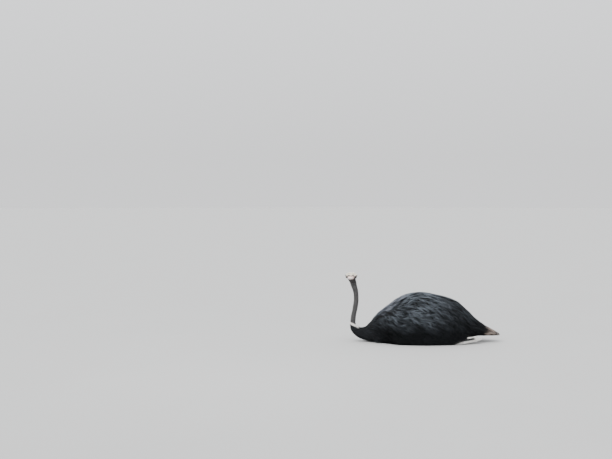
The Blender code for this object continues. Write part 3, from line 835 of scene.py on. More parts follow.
def build_eye(label, material):
    """One eyeball, its poles on its gaze, with the cornea standing a little proud."""
    gaze, ahead, up = eye_axes(SIDES[label])
    polar = np.concatenate([np.linspace(0.004, 0.75, 60), np.linspace(0.78, math.pi - 0.004, 40)])
    angle = turns(EYE_STEPS)
    radius = EYE_RADIUS * 0.985 + CORNEA_RISE * (1 - smoothstep(0.0, 0.72, polar))
    a = (radius * np.sin(polar))[:, None] * np.cos(angle)
    b = (radius * np.sin(polar))[:, None] * np.sin(angle)
    c = (radius * np.cos(polar))[:, None] * np.ones(EYE_STEPS)
    points = EYE[label] + a[..., None] * ahead + b[..., None] * up + c[..., None] * gaze
    piece = grid_piece(f"eyeball_{label}", points, material, "eye",
                       across=np.hypot(a, b) + 0.05 * (c < 0), ray=angle)
    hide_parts(f"eye_{label}")


BILL_RINGS, BILL_OVER, BILL_UNDER = 64, 110, 26     # rings, and points over and under in each
BILL_FLAT = 0.0004      # how far its flat inside is from the line of the mouth


def bill_grid(stations, facing):
    """One half of the bill: rings of points over its outside and back along its flat inside."""
    stations = [(-0.008, stations[0][1] * 0.97, stations[0][2] * 0.97), *stations]
    grid = []
    angle = np.linspace(0, math.pi, BILL_OVER)
    for along, wide, high in through(stations, np.linspace(0, 1, BILL_RINGS)):
        y = wide * np.cos(angle)
        z = BILL_FLAT + high * np.sin(angle) ** 0.8
        y, z = bill_detail(along, y, z, wide, facing)
        back = np.linspace(-wide, wide, BILL_UNDER + 2)[1:-1]
        y = np.concatenate([y, back])
        z = np.concatenate([z, np.full(BILL_UNDER, BILL_FLAT)])
        places = np.stack([np.full(len(y), BILL_BASE + along), y, GAPE_Z + facing * z], axis=1)
        grid.append(from_head(places))
    return closed_ends(np.array(grid), start=(0.5, 0.05), end=(0.5, 0.05))


NOSTRIL_AT, NOSTRIL_SIDE = 0.0135, 0.0145     # along the bill, and to each side
NOSTRIL_SLANT = 0.12
BILL_LENGTH = BILL_UPPER[-1][0]


def beside_nostril(along, y):
    """How far from the middle line of the nearer nostril a place is."""
    return np.abs(y) - NOSTRIL_SIDE + NOSTRIL_SLANT * along


def nostril(along, slit):
    """How deep in a nostril a place is; slit is its distance from the middle line of the nostril."""
    return np.exp(-(np.abs(along - NOSTRIL_AT) / 0.0084) ** 4 - (slit / 0.0029) ** 2)


def bill_detail(along, y, z, wide, facing):
    """The culmen, the nail and the nostrils of the upper half, or the rami of the lower."""
    rise = np.zeros(len(y))
    lip = bell(np.abs(y) - wide * 0.985, 0.0014)
    rise += 0.0004 * lip
    if facing > 0:
        rise += 0.0012 * bell(y, 0.0055) * (1 - smoothstep(0.050, 0.072, along))
        half_nail = 0.0125 * smoothstep(0.046, 0.056, along)
        edge = np.abs(y) - half_nail
        if along > 0.048:
            rise += 0.0007 * (1 - smoothstep(-0.0006, 0.0006, edge)) * (1 - smoothstep(0.068, 0.076, along))
            rise -= 0.0007 * bell(edge - 0.0011, 0.0007) * (1 - smoothstep(0.064, 0.072, along))
        slit = beside_nostril(along, y)
        rise -= 0.0050 * nostril(along, slit)
        rise += 0.0007 * np.exp(-((slit - 0.0036) / 0.0013) ** 2 - ((along - NOSTRIL_AT) / 0.007) ** 2)
        trailing = smoothstep(0.016, 0.024, along)
        rise -= 0.0007 * bell(slit, 0.0020) * trailing * (1 - smoothstep(0.038, 0.052, along))
    else:
        rami = bell(np.abs(y) - 0.62 * wide, 0.004)
        rise += 0.0007 * rami * (1 - smoothstep(0.050, 0.066, along))
        rise -= 0.0009 * bell(y, 0.006) * (1 - smoothstep(0.030, 0.055, along))
    return y, np.maximum(z + rise, 0.0003)


def build_bill(material):
    """The broad flat bill, in two halves."""
    for name, stations, facing in (("upper", BILL_UPPER, 1), ("lower", BILL_LOWER, -1)):
        grid = bill_grid(stations, facing)
        places = in_head(grid)
        along, y, drop = places[..., 0] - BILL_BASE, places[..., 1], GAPE_Z - places[..., 2]
        # Painted shade: in the nostrils, along the mouth line where the two halves meet, and over the lower
        # half, deepest on its underside.
        hole = nostril(along, beside_nostril(along, y)) ** 0.6
        below = 0.15 + 0.85 * smoothstep(0.004, 0.011, drop)
        piece = grid_piece(f"bill_{name}_horn", grid, material, "bill_horn",
                           gone=np.clip(along / BILL_LENGTH, 0, 1), edge=bell(drop, 0.0011),
                           ridge=bell(y, 0.0150), hole=hole if facing > 0 else 0.0,
                           below=0.0 if facing > 0 else below)
        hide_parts(f"bill_{name}")


def build_claws(material):
    """The curved nails of the toes."""
    for label, side in SIDES.items():
        for name, rows in CLAW.items():
            grid = closed_ends(limb_grid(rows, side, CLAW_RINGS, steps=CLAW_STEPS, shrink=1.0))
            piece = grid_piece(f"{name}_nail_{label}", grid, material, "claw_horn")
            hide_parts(f"{name}_{label}")


# ---- the coat's makers -------------------------------------------------------------
SHAFT_STEPS = 9
BARB_GAP = 0.0090       # between barbs on one side of a shaft
BARB_STEPS = 4
CLUMP = 4               # barbs that keep together
ROW_GAP = 0.87          # between rows of roots, for one between the roots in a row


def droop(points):
    """How strongly gravity turns the plumes' lie from the way to the tail."""
    x, _, z = np.moveaxis(points, -1, 0)
    breast = window(x, -0.68, -0.54, -0.42, -0.20)
    flank = window(x, -0.45, -0.15, 0.35, 0.60)
    low_rear = window(x, 0.0, 0.2, 0.42, 0.55) * (1 - smoothstep(0.16, 0.36, z))
    return 1.25 * breast + 0.42 * flank + 0.55 * low_rear


def sway(points, phase=0.0):
    """A turning of the lie from place to place, slow and quick, so that barbs wave together."""
    x, y, z = np.moveaxis(points, -1, 0)
    slow = 0.16 * np.sin(9 * x + 6 * z + 4 * y) + 0.12 * np.sin(21 * x - 15 * z + 8 * y + 1.3)
    return slow + 0.20 * np.sin(42 * x - 27 * z + 9 * y + 2.0 * np.sin(7 * x + 12 * z) + phase)


def splay(points, out):
    """How far the tips of plumes spread over the ground, off the curve of the breast."""
    x, _, z = np.moveaxis(points, -1, 0)
    along = window(x, -0.64, -0.55, -0.34, -0.22)
    return 0.060 * along * smoothstep(0.05, 0.60, -out[..., 2]) * (1 - smoothstep(0.02, 0.11, z))


def lie(surface, places, turn):
    """The way the coat lies at places on a surface, turned a little in its plane."""
    out = surface.outward(places)
    points = surface.point(places)
    back = -unit(surface.at(surface.along, places))
    round_it = unit(surface.at(surface.round, places))
    ahead = back + round_it * (droop(points) * dot(DOWN, round_it))[..., None]
    ahead = unit(ahead - out * dot(ahead, out)[..., None])
    turn = np.asarray(turn)[..., None]
    return ahead * np.cos(turn) + np.cross(out, ahead) * np.sin(turn)


def rows_of_roots(surface, start, end, rng, spacing=None, scatter=0.28):
    """Staggered rows of places round a surface, between two distances along its axis."""
    places, gaps = [], []
    at, row = start, 0
    while at < end:
        gap = spacing or coat_at(at, SPACING)
        ring = np.interp(at, surface.distance, np.arange(surface.rings))
        girth = np.linalg.norm(surface.round[int(ring)], axis=-1).sum()
        count = max(4, int(girth / gap))
        step = (np.arange(count) + 0.5 * (row % 2) + rng.uniform(-scatter, scatter, count)) / count
        pitch = np.interp(at, surface.distance, np.gradient(surface.distance))
        ahead = ring + rng.uniform(-scatter, scatter, count) * gap / pitch
        places.append(np.stack([ahead, step * surface.steps], axis=1))
        gaps.append(np.full(count, at))
        at += gap * ROW_GAP
        row += 1
    return np.concatenate(places), np.concatenate(gaps)


def trail(surface, roots, length, turn, bend):
    """Where plumes go over a surface, from their roots to their tips."""
    places = [roots]
    for k in range(SHAFT_STEPS):
        swayed = turn + bend * k + sway(surface.point(places[-1]))
        heading = lie(surface, places[-1], swayed) * (length / SHAFT_STEPS)[:, None]
        places.append(places[-1] + surface.shift(places[-1], heading))
    return np.stack(places, axis=1)


def between(values, own, k, t):
    """Values of shafts part of the way from their k-th point to the next."""
    t = t.reshape(t.shape + (1,) * (values.ndim - 2))
    return values[own, k] * (1 - t) + values[own, k + 1] * t


def body_marks(lines, _):
    """The markings of the body's coat at its points, whichever plumes they belong to, with the painted sheen
    and the painted shade line over the shoulder.
    """
    violet, seam = shoulder_sheen_and_shade(lines)
    return {"white": whiteness(lines), "black": blackness(lines), "violet": violet, "seam": seam}


def plumes(coat, surface, roots, length, barb, rng, area=BODY_MAP, marks=body_marks, spread=1.0,
           steps=BARB_STEPS):
    """Loose plumes: a shaft each, with soft barbs to both sides, laid over a surface.

    marks gives the fields that hold the markings, for points and the plumes they belong to.
    """
    n = len(roots)
    turn, bend = rng.normal(0, 0.10, n), rng.normal(0, 0.025, n)
    places = trail(surface, roots, length, turn, bend)
    gone = np.linspace(0, 1, SHAFT_STEPS + 1)
    depth = surface.at(surface.fields["depth"], places)
    layer = rng.uniform(0.25, 1.0, n)[:, None]
    rise = 0.10 + 0.90 * smoothstep(0, 0.45, gone)
    loose = rng.normal(0.0, 0.10, n)[:, None] * gone**2
    height = np.maximum(depth * (layer * rise + loose), 0.0008)
    height += gone * splay(surface.point(places), surface.outward(places))
    shaft, out = surface.lay(places, height)
    tone = rng.uniform(0, 1, n)
    width = (0.0004 + 0.0011 * length)[:, None] * np.linspace(1.0, 0.25, SHAFT_STEPS + 1)
    coat.add(shaft, out, width, map_place(surface, roots, area), shaft=np.ones(n), tone=tone,
             **marks(shaft, np.arange(n)))

    pairs = np.maximum(5, (length / BARB_GAP).astype(int))
    own = np.repeat(np.arange(n), 2 * pairs)
    order = np.concatenate([np.arange(2 * p) for p in pairs])
    many = len(own)
    a = np.minimum(0.05 + 0.95 * (order // 2 + rng.uniform(0, 0.9, many)) / pairs[own], 0.999)
    k = (a * SHAFT_STEPS).astype(int)
    t = a * SHAFT_STEPS - k
    place, high = between(places, own, k, t), between(height, own, k, t)
    side = np.where(order % 2, 1.0, -1.0)
    reach = barb[own] * (0.50 + 0.55 * np.sin(math.pi * a**0.8) ** 0.6) * rng.uniform(0.7, 1.2, many)
    clump = own * 64 + (order // (2 * CLUMP)) * 2 + order % 2
    shared = rng.normal(0, 1, (clump.max() + 1, 3))[clump]
    wide = np.radians(37 - 22 * a**1.2) * spread * rng.uniform(0.85, 1.15, many)
    curl = 0.30 * shared[:, 1] + rng.normal(0, 0.10, many)
    phase = 0.9 * shared[:, 2] + rng.normal(0, 0.20, many)
    spots = [place]
    for m in range(steps):
        t = (m + 0.5) / steps
        waved = sway(surface.point(spots[-1]), phase)
        open_by = side * wide * (1 - t) ** 1.2 + 0.08 * shared[:, 0] + curl * (t - 0.25)
        heading = lie(surface, spots[-1], turn[own] + bend[own] * k + waved + open_by)
        spots.append(spots[-1] + surface.shift(spots[-1], heading * (reach / steps)[:, None]))
    spots = np.stack(spots, axis=1)
    streak = rng.normal(0, 1, clump.max() + 1)[clump]
    t = np.linspace(0, 1, steps + 1)
    sag = np.clip(0.30 - 0.34 * streak + rng.normal(0, 0.08, many), -0.25, 0.95)[:, None]
    fluff = (rng.uniform(-0.02, 0.04, many) + 0.02 * shared[:, 2])[:, None]
    over = np.maximum(high[:, None] * (1 - sag * t) + fluff * reach[:, None] * t**2, 0.0006)
    lines, out = surface.lay(spots, over)
    taper = np.interp(t, (0, 0.25, 0.5, 0.75, 1), (0.7, 1.0, 0.9, 0.6, 0.0))
    width = (0.00022 + 0.0098 * reach)[:, None] * taper
    tone = np.clip(0.42 + 0.30 * (tone[own] - 0.5) + 0.30 * streak + rng.normal(0, 0.10, many), 0, 1)
    coat.add(lines, out, width, map_place(surface, place, area), tone=tone, **marks(lines, own))


def bristles(coat, surface, roots, length, width, stand, rng, turn=0.35, steps=2):
    """Short single tufts: stand is how steeply they rise from the skin, from nought to one."""
    n = len(roots)
    length = length * rng.uniform(0.7, 1.25, n)
    turned = rng.normal(0, turn, n)
    places = [roots]
    for _ in range(steps):
        step = lie(surface, places[-1], turned) * (length * (1 - 0.8 * stand) / steps)[:, None]
        places.append(places[-1] + surface.shift(places[-1], step))
    places = np.stack(places, axis=1)
    t = np.linspace(0, 1, steps + 1)
    heights = (length * (0.10 + stand * rng.uniform(0.6, 1.1, n)))[:, None] * t - 0.0003
    lines, out = surface.lay(places, heights)
    thick = width * rng.uniform(0.7, 1.2, n)[:, None] * np.interp(t, (0, 0.5, 1), (1.0, 0.75, 0.0))
    crown, dusk = face_marks(lines)[:2]
    coat.add(lines, out, thick, map_place(surface, roots), tone=rng.uniform(0, 1, n), crown=crown,
             dusk=dusk, white=whiteness(lines), black=blackness(lines))


# ---- the coat's pieces ---------------------------------------------------------------
# Where the pieces of the body's coat part.
RUMP_X, FLANK_Z, WING_MIDDLE_X, WING_REAR_FROM_X, ON_WING = 0.20, 0.24, -0.10, 0.18, 0.008

BODY_SEED, TAIL_SEED, WHITE_SEED, DOWN_SEED, HEAD_SEED = 11, 12, 20, 31, 41
TAIL_SPACING, WHITE_SPACING = 0.039, 0.0205
COLLAR_SPACING, DOWN_SPACING, HEAD_SPACING = 0.0062, 0.0025, 0.0020
WHITE_RINGS, WHITE_STEPS = 60, 48
WHITE_TIP_X = WING_PLUMES[-1][0]
LONGEST_TAIL_PLUME = 0.26
BROW_COUNT = 760
LASH_ROWS = (3, 4)      # the lids' rings that the lashes stand on
HAIR_WIDTH = 0.00030    # of a lash or a brow's bristle at its root
FAR = 9.0               # a reach outside every lid


def piece_of(surface, roots, at):
    """The name of the piece that each plume belongs to."""
    spots = surface.point(roots)
    on_wing = surface.at(surface.fields["swell"], roots) > ON_WING
    x, y, z = spots.T
    name = np.where(x < RUMP_X, "mantle", "rump").astype("U20")
    name[z < FLANK_Z] = "flank"
    name[on_wing & (x < WING_MIDDLE_X)] = "wing_front"
    name[on_wing & (x >= WING_MIDDLE_X)] = "wing_middle"
    name[on_wing & (x >= WING_REAR_FROM_X)] = "wing_rear"
    name[at > BREAST_AT] = "breast"
    side = np.where(y < 0, "_left", "_right")
    name = np.char.add(name, side)
    name[at > NECK_BASE_AT] = "neck_base"
    return name


def build_body_coat(skin, black):
    """The black plumes of the body, the wings and the base of the neck."""
    rng = np.random.default_rng(BODY_SEED)
    roots, at = rows_of_roots(skin, TAIL_ROOT_AT, BLACK_END_AT, rng)
    spots = skin.point(roots)
    facing = skin.at(skin.out, roots)[:, 2]
    seen = (facing > -0.75) | (spots[:, 2] > 0.035)
    seen &= blackness(spots) > 0.5
    roots, at = roots[seen], at[seen]
    length = coat_at(at, LENGTH) * rng.uniform(0.8, 1.15, len(at))
    length = np.minimum(length, np.maximum(at - 0.17, 0.05))
    barb = coat_at(at, BARB)
    names = piece_of(skin, roots, at)
    for name in sorted(set(names)):
        own = names == name
        steps = 3 if name == "neck_base" else BARB_STEPS
        coat = Coat()
        plumes(coat, skin, roots[own], length[own], barb[own], rng, steps=steps)
        coat.piece(f"plumage_{name}", black, "black_plumage")


def build_tail(skin, material):
    """The tail plumes, black at their roots and pale at their ends, a few of them dark to the tip."""
    rng = np.random.default_rng(TAIL_SEED)
    coat = Coat()
    roots, at = rows_of_roots(skin, TAIL_TIP_AT, TAIL_ROOT_AT, rng, spacing=TAIL_SPACING)
    length = np.minimum(at - rng.uniform(0.004, 0.060, len(at)), LONGEST_TAIL_PLUME)
    keep = length > 0.05
    roots, length = roots[keep], length[keep]
    start = rng.normal(0.708, 0.026, len(length))
    dark = rng.uniform(0, 1, len(length)) < 0.22
    axis = np.array(BODY[:6])[::-1]

    def marks(lines, own):
        x, _, z = np.moveaxis(lines, -1, 0)
        fade = (x - start[own][:, None]) / 0.05
        white = smoothstep(0, 1, fade) * np.where(dark[own], 0.12, 1.0)[:, None]
        reach = np.interp(x, axis[:, 0], axis[:, 2])
        across = (z - np.interp(x, axis[:, 0], axis[:, 1])) / reach
        band = bell(across - 0.42, 0.16) + smoothstep(0.35, 0.75, -across)
        white = white * (1 - 0.80 * np.clip(band + smoothstep(0.805, 0.850, x), 0, 1))
        return {"white": white, "black": 1 - white}

    plumes(coat, skin, roots, length, 0.22 * length + 0.024, rng, marks=marks, spread=0.45)
    coat.piece("plumage_tail", material, "buff_tail")


def wing_plume_surface(side):
    """The form that the white plumes of one wing fill, from its tip to its front."""
    rows = through(WING_PLUMES, np.linspace(1, 0, WHITE_RINGS))
    angle = turns(WHITE_STEPS)
    grid = []
    for x, y, z, high, wide in rows:
        across, rise = section(high * 0.70, high * 0.70, wide * 0.55, angle)
        z = np.maximum(z + rise, SKIN_CLEAR)
        grid.append(np.stack([np.full(WHITE_STEPS, x), side * y + across, z], axis=1))
    depth = np.interp(rows[:, 0], (0.33, 0.6, WHITE_TIP_X), (0.012, 0.009, 0.003))
    surface = Surface(np.array(grid), depth=depth[:, None] * np.ones(WHITE_STEPS))
    surface.distance = WHITE_TIP_X - rows[:, 0]
    return surface


def wing_gap(points):
    """How black it is between the upper and the lower white plumes of a wing."""
    x, _, z = np.moveaxis(points, -1, 0)
    middle_z = 0.054 + 0.10 * (x - 0.48)
    band = 1 - smoothstep(0.008, 0.016, np.abs(z - middle_z))
    above = smoothstep(0.052, 0.060, z) * (1 - smoothstep(0.455, 0.490, x))
    return np.maximum(band * (1 - smoothstep(0.535, 0.575, x)), above)


def build_white_plumes(material):
    """The white plumes at the end of each wing."""
    for n, (label, side) in enumerate(SIDES.items()):
        rng = np.random.default_rng(WHITE_SEED + n)
        surface = wing_plume_surface(side)
        coat = Coat()
        roots, at = rows_of_roots(surface, 0.035, 0.31, rng, spacing=WHITE_SPACING)
        length = np.minimum(at - rng.uniform(0.0, 0.05, len(at)), rng.uniform(0.10, 0.17, len(at)))
        plumes(coat, surface, roots, np.maximum(length, 0.03), np.full(len(at), 0.036), rng,
               WING_TIP_MAP[label], marks=lambda lines, _: {"black": wing_gap(lines)}, spread=0.7)
        piece = coat.piece(f"white_plumage_{label}", material, "white_plumes")
        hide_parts(f"wing_plumes_{label}")


def build_down(skin, down, white):
    """The tufts of the white collar, and the sparse down of the neck."""
    rng = np.random.default_rng(DOWN_SEED)
    roots, _ = rows_of_roots(skin, 1.66, 1.86, rng, spacing=COLLAR_SPACING)
    keep = whiteness(skin.point(roots)) > 0.35
    coat = Coat()
    bristles(coat, skin, roots[keep], np.full(keep.sum(), 0.017), 0.0010, 0.28, rng)
    coat.piece("down_collar", white, "white_plumes")
    coat = Coat()
    neck_end = float(skin.distance[skin.neck_rings + 8])
    roots, _ = rows_of_roots(skin, 1.78, neck_end, rng, spacing=DOWN_SPACING)
    spots = skin.point(roots)
    keep = (above_collar(spots) > 0.015) & (blackness(spots) < 0.5)
    bristles(coat, skin, roots[keep], np.full(keep.sum(), 0.0085), 0.00017, 0.10, rng, steps=1)
    coat.piece("down_neck", down, "bare_skin")


def build_head_coat(skin, down, lids, lash):
    """The bristly crown and brows, the fine down of the face, and the lashes."""
    rng = np.random.default_rng(HEAD_SEED)
    head_start = float(skin.distance[skin.neck_rings + 4])
    head_end = float(skin.distance[-1])
    coat = Coat()
    roots, _ = rows_of_roots(skin, head_start, head_end, rng, spacing=HEAD_SPACING, scatter=0.5)
    spots = skin.point(roots)
    crown = face_marks(spots)[0]
    inside = np.full(len(roots), FAR)
    for label in SIDES:
        ahead, up, out = eye_plane(spots, label)
        reach = np.hypot(ahead / LID_REACH[0], (up - LID_RISE) / LID_REACH[1])
        inside = np.minimum(inside, np.where(out > BEHIND_EYE, reach, FAR))
    local = in_head(spots)
    clear = (inside > 0.80) & (local[:, 0] < 0.043)
    clear &= np.hypot(local[:, 0] - EAR_PLACE[0], local[:, 2] - EAR_PLACE[1]) > EAR_RADIUS * 0.9
    chance = rng.uniform(0, 1, len(roots))
    dense = clear & (crown > 0.08) & (chance < 0.10 + 0.90 * crown**1.3)
    outer = smoothstep(0.010, 0.034, np.abs(local[dense, 1]))
    size = 0.0040 + (0.0075 + 0.0045 * outer) * crown[dense] ** 1.4
    bristles(coat, skin, roots[dense], size, 0.00032, 0.10 + 0.42 * crown[dense], rng, turn=0.5)
    sparse = clear & (crown <= 0.40) & (chance > 0.35) & (local[:, 0] < 0.034)
    size = 0.0075 - 0.0040 * smoothstep(-0.05, -0.01, local[sparse, 2])
    bristles(coat, skin, roots[sparse], size, 0.00016, 0.10, rng, steps=1)
    for label in SIDES:
        brow(coat, lids[label], label, rng)
    coat.piece("bristles_head", down, "bare_skin")
    coat = Coat()
    for label in SIDES:
        lashes(coat, lids[label], label, rng)
    coat.piece("lashes", lash, "black_plumage")


def brow(coat, grid, label, rng):
    """The pale bristles over the upper lid of one eye, which fill out the flat top of the head."""
    surface = Surface(grid)
    gaze, ahead, up = eye_axes(SIDES[label])
    turn = rng.uniform(0.03, 0.47, BROW_COUNT)
    ring = rng.uniform(9, surface.rings - 1.5, BROW_COUNT)
    places = np.stack([ring, turn * surface.steps], axis=1)
    base = surface.point(places)
    out = surface.outward(places)
    out = out * np.sign(out @ gaze)[:, None]
    high = np.clip((base - EYE[label]) @ up / 0.030, 0, 1)
    way = up * 0.9 + gaze * 0.25 - ahead * 0.25 + rng.normal(0, 0.28, (BROW_COUNT, 3))
    way = unit(way - out * dot(way, out)[:, None] * 0.35)
    length = (0.0035 + 0.0075 * high) * rng.uniform(0.55, 1.25, BROW_COUNT)
    t = np.linspace(0, 1, 4)[:, None]
    bow = way[:, None] * t + (out * 0.35)[:, None] * (t * (1 - t)) - ahead * 0.12 * t**2
    lines = base[:, None] + bow * length[:, None, None] - out[:, None] * 0.0003
    width = HAIR_WIDTH * np.array([1.0, 0.9, 0.6, 0.0]) * np.ones((BROW_COUNT, 1))
    roots = map_place(surface, places, LID_MAP[label])
    coat.add(lines, np.broadcast_to(out[:, None], lines.shape), width, roots,
             tone=rng.uniform(0, 1, BROW_COUNT), crown=np.ones(BROW_COUNT))


def lashes(coat, grid, label, rng):
    """Stiff curved lashes along the upper lid, and short ones below."""
    gaze, ahead, up = eye_axes(SIDES[label])
    surface = Surface(grid)
    steps = surface.steps
    for row in LASH_ROWS:
        for start, end, count, long, rise in ((0.03, 0.47, 44, 0.0125, 0.55), (0.56, 0.94, 26, 0.0050, -0.5)):
            turn = np.sort(rng.uniform(start, end, count))
            index = (turn * steps).astype(int) % steps
            base = grid[row, index]
            spread = np.cos(turn * 2 * math.pi)
            length = long * rng.uniform(0.75, 1.15, count)
            t = np.linspace(0, 1, 5)[:, None]
            first = unit(gaze + ahead * (0.55 * spread)[:, None] + up * 0.15 * rise)
            last = unit(gaze * 0.55 + ahead * (0.65 * spread)[:, None] + up * rise * 1.6)
            bow = first[:, None] * t + (last - first)[:, None] * t**2 * 0.5
            lines = base[:, None] + bow * length[:, None, None] - gaze * 0.0006
            width = HAIR_WIDTH * np.array([1.0, 0.9, 0.7, 0.4, 0.0]) * np.ones((count, 1))
            places = np.stack([np.full(count, float(row)), turn * steps], axis=1)
            roots = map_place(surface, places, LID_MAP[label])
            out = np.broadcast_to(up, lines.shape)
            coat.add(lines, out, width, roots, tone=rng.uniform(0, 1, count), black=np.ones(count))


# ---- materials ---------------------------------------------------------------------------
class Paint:
    """A material's nodes."""

    def __init__(self, name, **constants):
        self.material = bpy.data.materials.new(name)
        self.material.use_nodes = True
        self.tree = self.material.node_tree
        self.shader = self.tree.nodes["Principled BSDF"]
        for socket, value in constants.items():
            self.shader.inputs[socket.replace("_", " ")].default_value = value

    def node(self, kind, inputs=None, output=0, **settings):
        """Adds a node, links or sets its inputs, and returns one of its outputs."""
        made = self.tree.nodes.new("ShaderNode" + kind)
        for key, value in settings.items():
            setattr(made, key, value)
        for socket, value in (inputs or {}).items():
            self.join(value, made.inputs[socket])
        return made.outputs[output]

    def join(self, value, socket):
        """Links a value to a socket, or sets it."""
        if isinstance(value, bpy.types.NodeSocket):
            self.tree.links.new(value, socket)
        else:
            socket.default_value = value

    def field(self, name):
        """A value kept at the mesh's points."""
        return self.node("Attribute", output=2, attribute_name=name)

    def place(self, stretch=(1, 1, 1)):
        """The place in the bird's frame, stretched."""
        spot = self.node("TexCoord", output=3)
        return self.node("Mapping", {"Vector": spot, "Scale": stretch})

    def axis(self, number):
        """One of the three numbers of the place in the bird's frame."""
        return self.node("SeparateXYZ", {0: self.place()}, output=number)

    def noise(self, scale, detail, vector=None, roughness=0.55):
        """Soft noise from nought to one."""
        return self.node("TexNoise", {"Vector": vector or self.place(), "Scale": scale, "Detail": detail,
                                      "Roughness": roughness})

    def sums(self, operation, a, b):
        """The result of arithmetic on two values."""
        return self.node("Math", {0: a, 1: b}, operation=operation)

    def ramp(self, value, low, high, to_low=0.0, to_high=1.0):
        """A value taken from one range to another, smoothly."""
        return self.node("MapRange", {0: value, 1: low, 2: high, 3: to_low, 4: to_high},
                         interpolation_type="SMOOTHSTEP")

    def uneven(self, scale, low, high, detail=2.0):
        """A value that wanders between two with soft noise."""
        return self.ramp(self.noise(scale, detail), 0.3, 0.7, low, high)

    def mix(self, share, a, b):
        """A colour between two colours."""
        colours = [(*c, 1) if isinstance(c, tuple) else c for c in (a, b)]
        return self.node("Mix", {0: share, 6: colours[0], 7: colours[1]}, output=2, data_type="RGBA")

    def over(self, colour, *layers):
        """A colour with others laid over it in turn.

        A layer is a value or a field's name, the share the layer has where that is one, and its colour.
        """
        for value, share, other in layers:
            value = self.field(value) if isinstance(value, str) else value
            value = value if share == 1 else self.sums("MULTIPLY", value, share)
            colour = self.mix(value, colour, other)
        return colour

    def bump(self, height, strength, distance, normal=None):
        """A normal bent by a height."""
        inputs = {"Height": height, "Strength": strength, "Distance": distance}
        if normal:
            inputs["Normal"] = normal
        return self.node("Bump", inputs)

    def finish(self, colour, roughness, normal=None):
        """Joins the results to the shader."""
        self.join(colour, self.shader.inputs["Base Color"])
        self.join(roughness, self.shader.inputs["Roughness"])
        if normal:
            self.join(normal, self.shader.inputs["Normal"])
        return self.material


FINE_GRAIN = 420.0      # the scale of the noise that roughens every plume


def plumage_paint(name, tail=False):
    """Black plumes, pale where the markings say so, with painted light: a painted highlight that greys the
    upper body, and a painted sheen and a painted shade line over the shoulder.
    """
    paint = Paint(name, Sheen_Weight=0.03, Sheen_Roughness=0.35, Sheen_Tint=(0.78, 0.88, 1.0, 1),
                  Specular_IOR_Level=0.12)
    tone = paint.field("tone")
    # Painted light: the plumes are lighter and greyer towards the top of the body and darker low down, less
    # so towards the rear and a little lighter on the front of the breast, for the light that falls from
    # above.
    painted_highlight_patches = paint.sums("MULTIPLY", paint.noise(6.5, 2.0), 0.14)
    height = paint.sums("ADD", paint.axis(2), painted_highlight_patches)
    behind = paint.ramp(paint.axis(0), -0.02, 0.40, 1.0, 0.26)
    upper = paint.sums("MULTIPLY", paint.ramp(height, 0.17, 0.42), behind)
    breast = paint.ramp(paint.axis(0), -0.60, -0.42, 0.20, 0.0)
    upper = paint.sums("MAXIMUM", upper, breast)
    # Lit and shaded copies of the dark and the light strands, picked by that painted highlight; which strands
    # are light is their own tone.
    dark = paint.mix(upper, (0.0008, 0.0009, 0.0010), (0.0030, 0.0034, 0.0042))
    light = paint.mix(upper, (0.0060, 0.0066, 0.0078), (0.1700, 0.1950, 0.2250))
    # The painted violet sheen over the shoulder, and the painted shade line under the wing's front edge.
    painted_gloss = paint.mix(paint.ramp(tone, 0.15, 0.85), (0.0420, 0.0450, 0.0560), (0.3000, 0.3250, 0.3800))
    black = paint.over(dark, (paint.ramp(tone, 0.30, 0.95), 1, light), ("shaft", 0.35, light),
                       ("violet", 0.75, painted_gloss), ("seam", 0.80, (0.0035, 0.0035, 0.0045)))
    pale = paint.mix(paint.ramp(tone, 0.2, 0.9), (0.20, 0.145, 0.11), (0.60, 0.51, 0.46))
    streak = paint.ramp(paint.noise(1.0, 3.0, paint.place((14, 150, 150))), 0.50, 0.66)
    ahead = paint.ramp(paint.axis(0), 0.55, 0.65, 1.0, 0.0)
    pale = paint.over(pale, (streak, 0.74 if tail else 0.0, (0.060, 0.050, 0.040)),
                      (ahead, 1, (0.86, 0.845, 0.81)))
    colour = paint.over(black, ("white", 1, pale))
    normal = paint.bump(paint.noise(FINE_GRAIN, 2.0), 0.25, 0.0006)
    return paint.finish(colour, paint.uneven(60.0, 0.38, 0.56), normal)


def white_paint():
    """White down and plumes, a little soiled."""
    paint = Paint("white_plumes", Sheen_Weight=0.25, Sheen_Roughness=0.5, Specular_IOR_Level=0.35)
    soil = paint.ramp(paint.noise(26.0, 4.0), 0.42, 0.75)
    clean = paint.mix(paint.field("tone"), (0.86, 0.84, 0.80), (0.96, 0.955, 0.94))
    colour = paint.over(clean, (soil, 0.32, (0.56, 0.48, 0.39)), ("shaft", 0.4, (0.62, 0.56, 0.48)),
                        ("black", 1, (0.010, 0.010, 0.011)))
    normal = paint.bump(paint.noise(FINE_GRAIN, 2.0), 0.2, 0.0005)
    return paint.finish(colour, paint.uneven(60.0, 0.60, 0.78), normal)


def down_paint():
    """The neck's grey down and the cream bristles of the crown."""
    paint = Paint("down_grey", Sheen_Weight=0.15, Sheen_Roughness=0.5, Specular_IOR_Level=0.35)
    tone = paint.field("tone")
    grey = paint.mix(tone, (0.060, 0.057, 0.056), (0.22, 0.210, 0.195))
    cream = paint.mix(tone, (0.84, 0.79, 0.66), (0.97, 0.95, 0.87))
    colour = paint.over(grey, ("crown", 1, cream), ("dusk", 0.85, (0.045, 0.040, 0.040)))
    return paint.finish(colour, paint.uneven(90.0, 0.55, 0.75))


def lash_paint():
    """Stiff black lashes."""
    paint = Paint("lash_black", Specular_IOR_Level=0.5)
    colour = paint.mix(paint.field("tone"), (0.006, 0.005, 0.005), (0.022, 0.018, 0.016))
    return paint.finish(colour, paint.uneven(200.0, 0.30, 0.45))


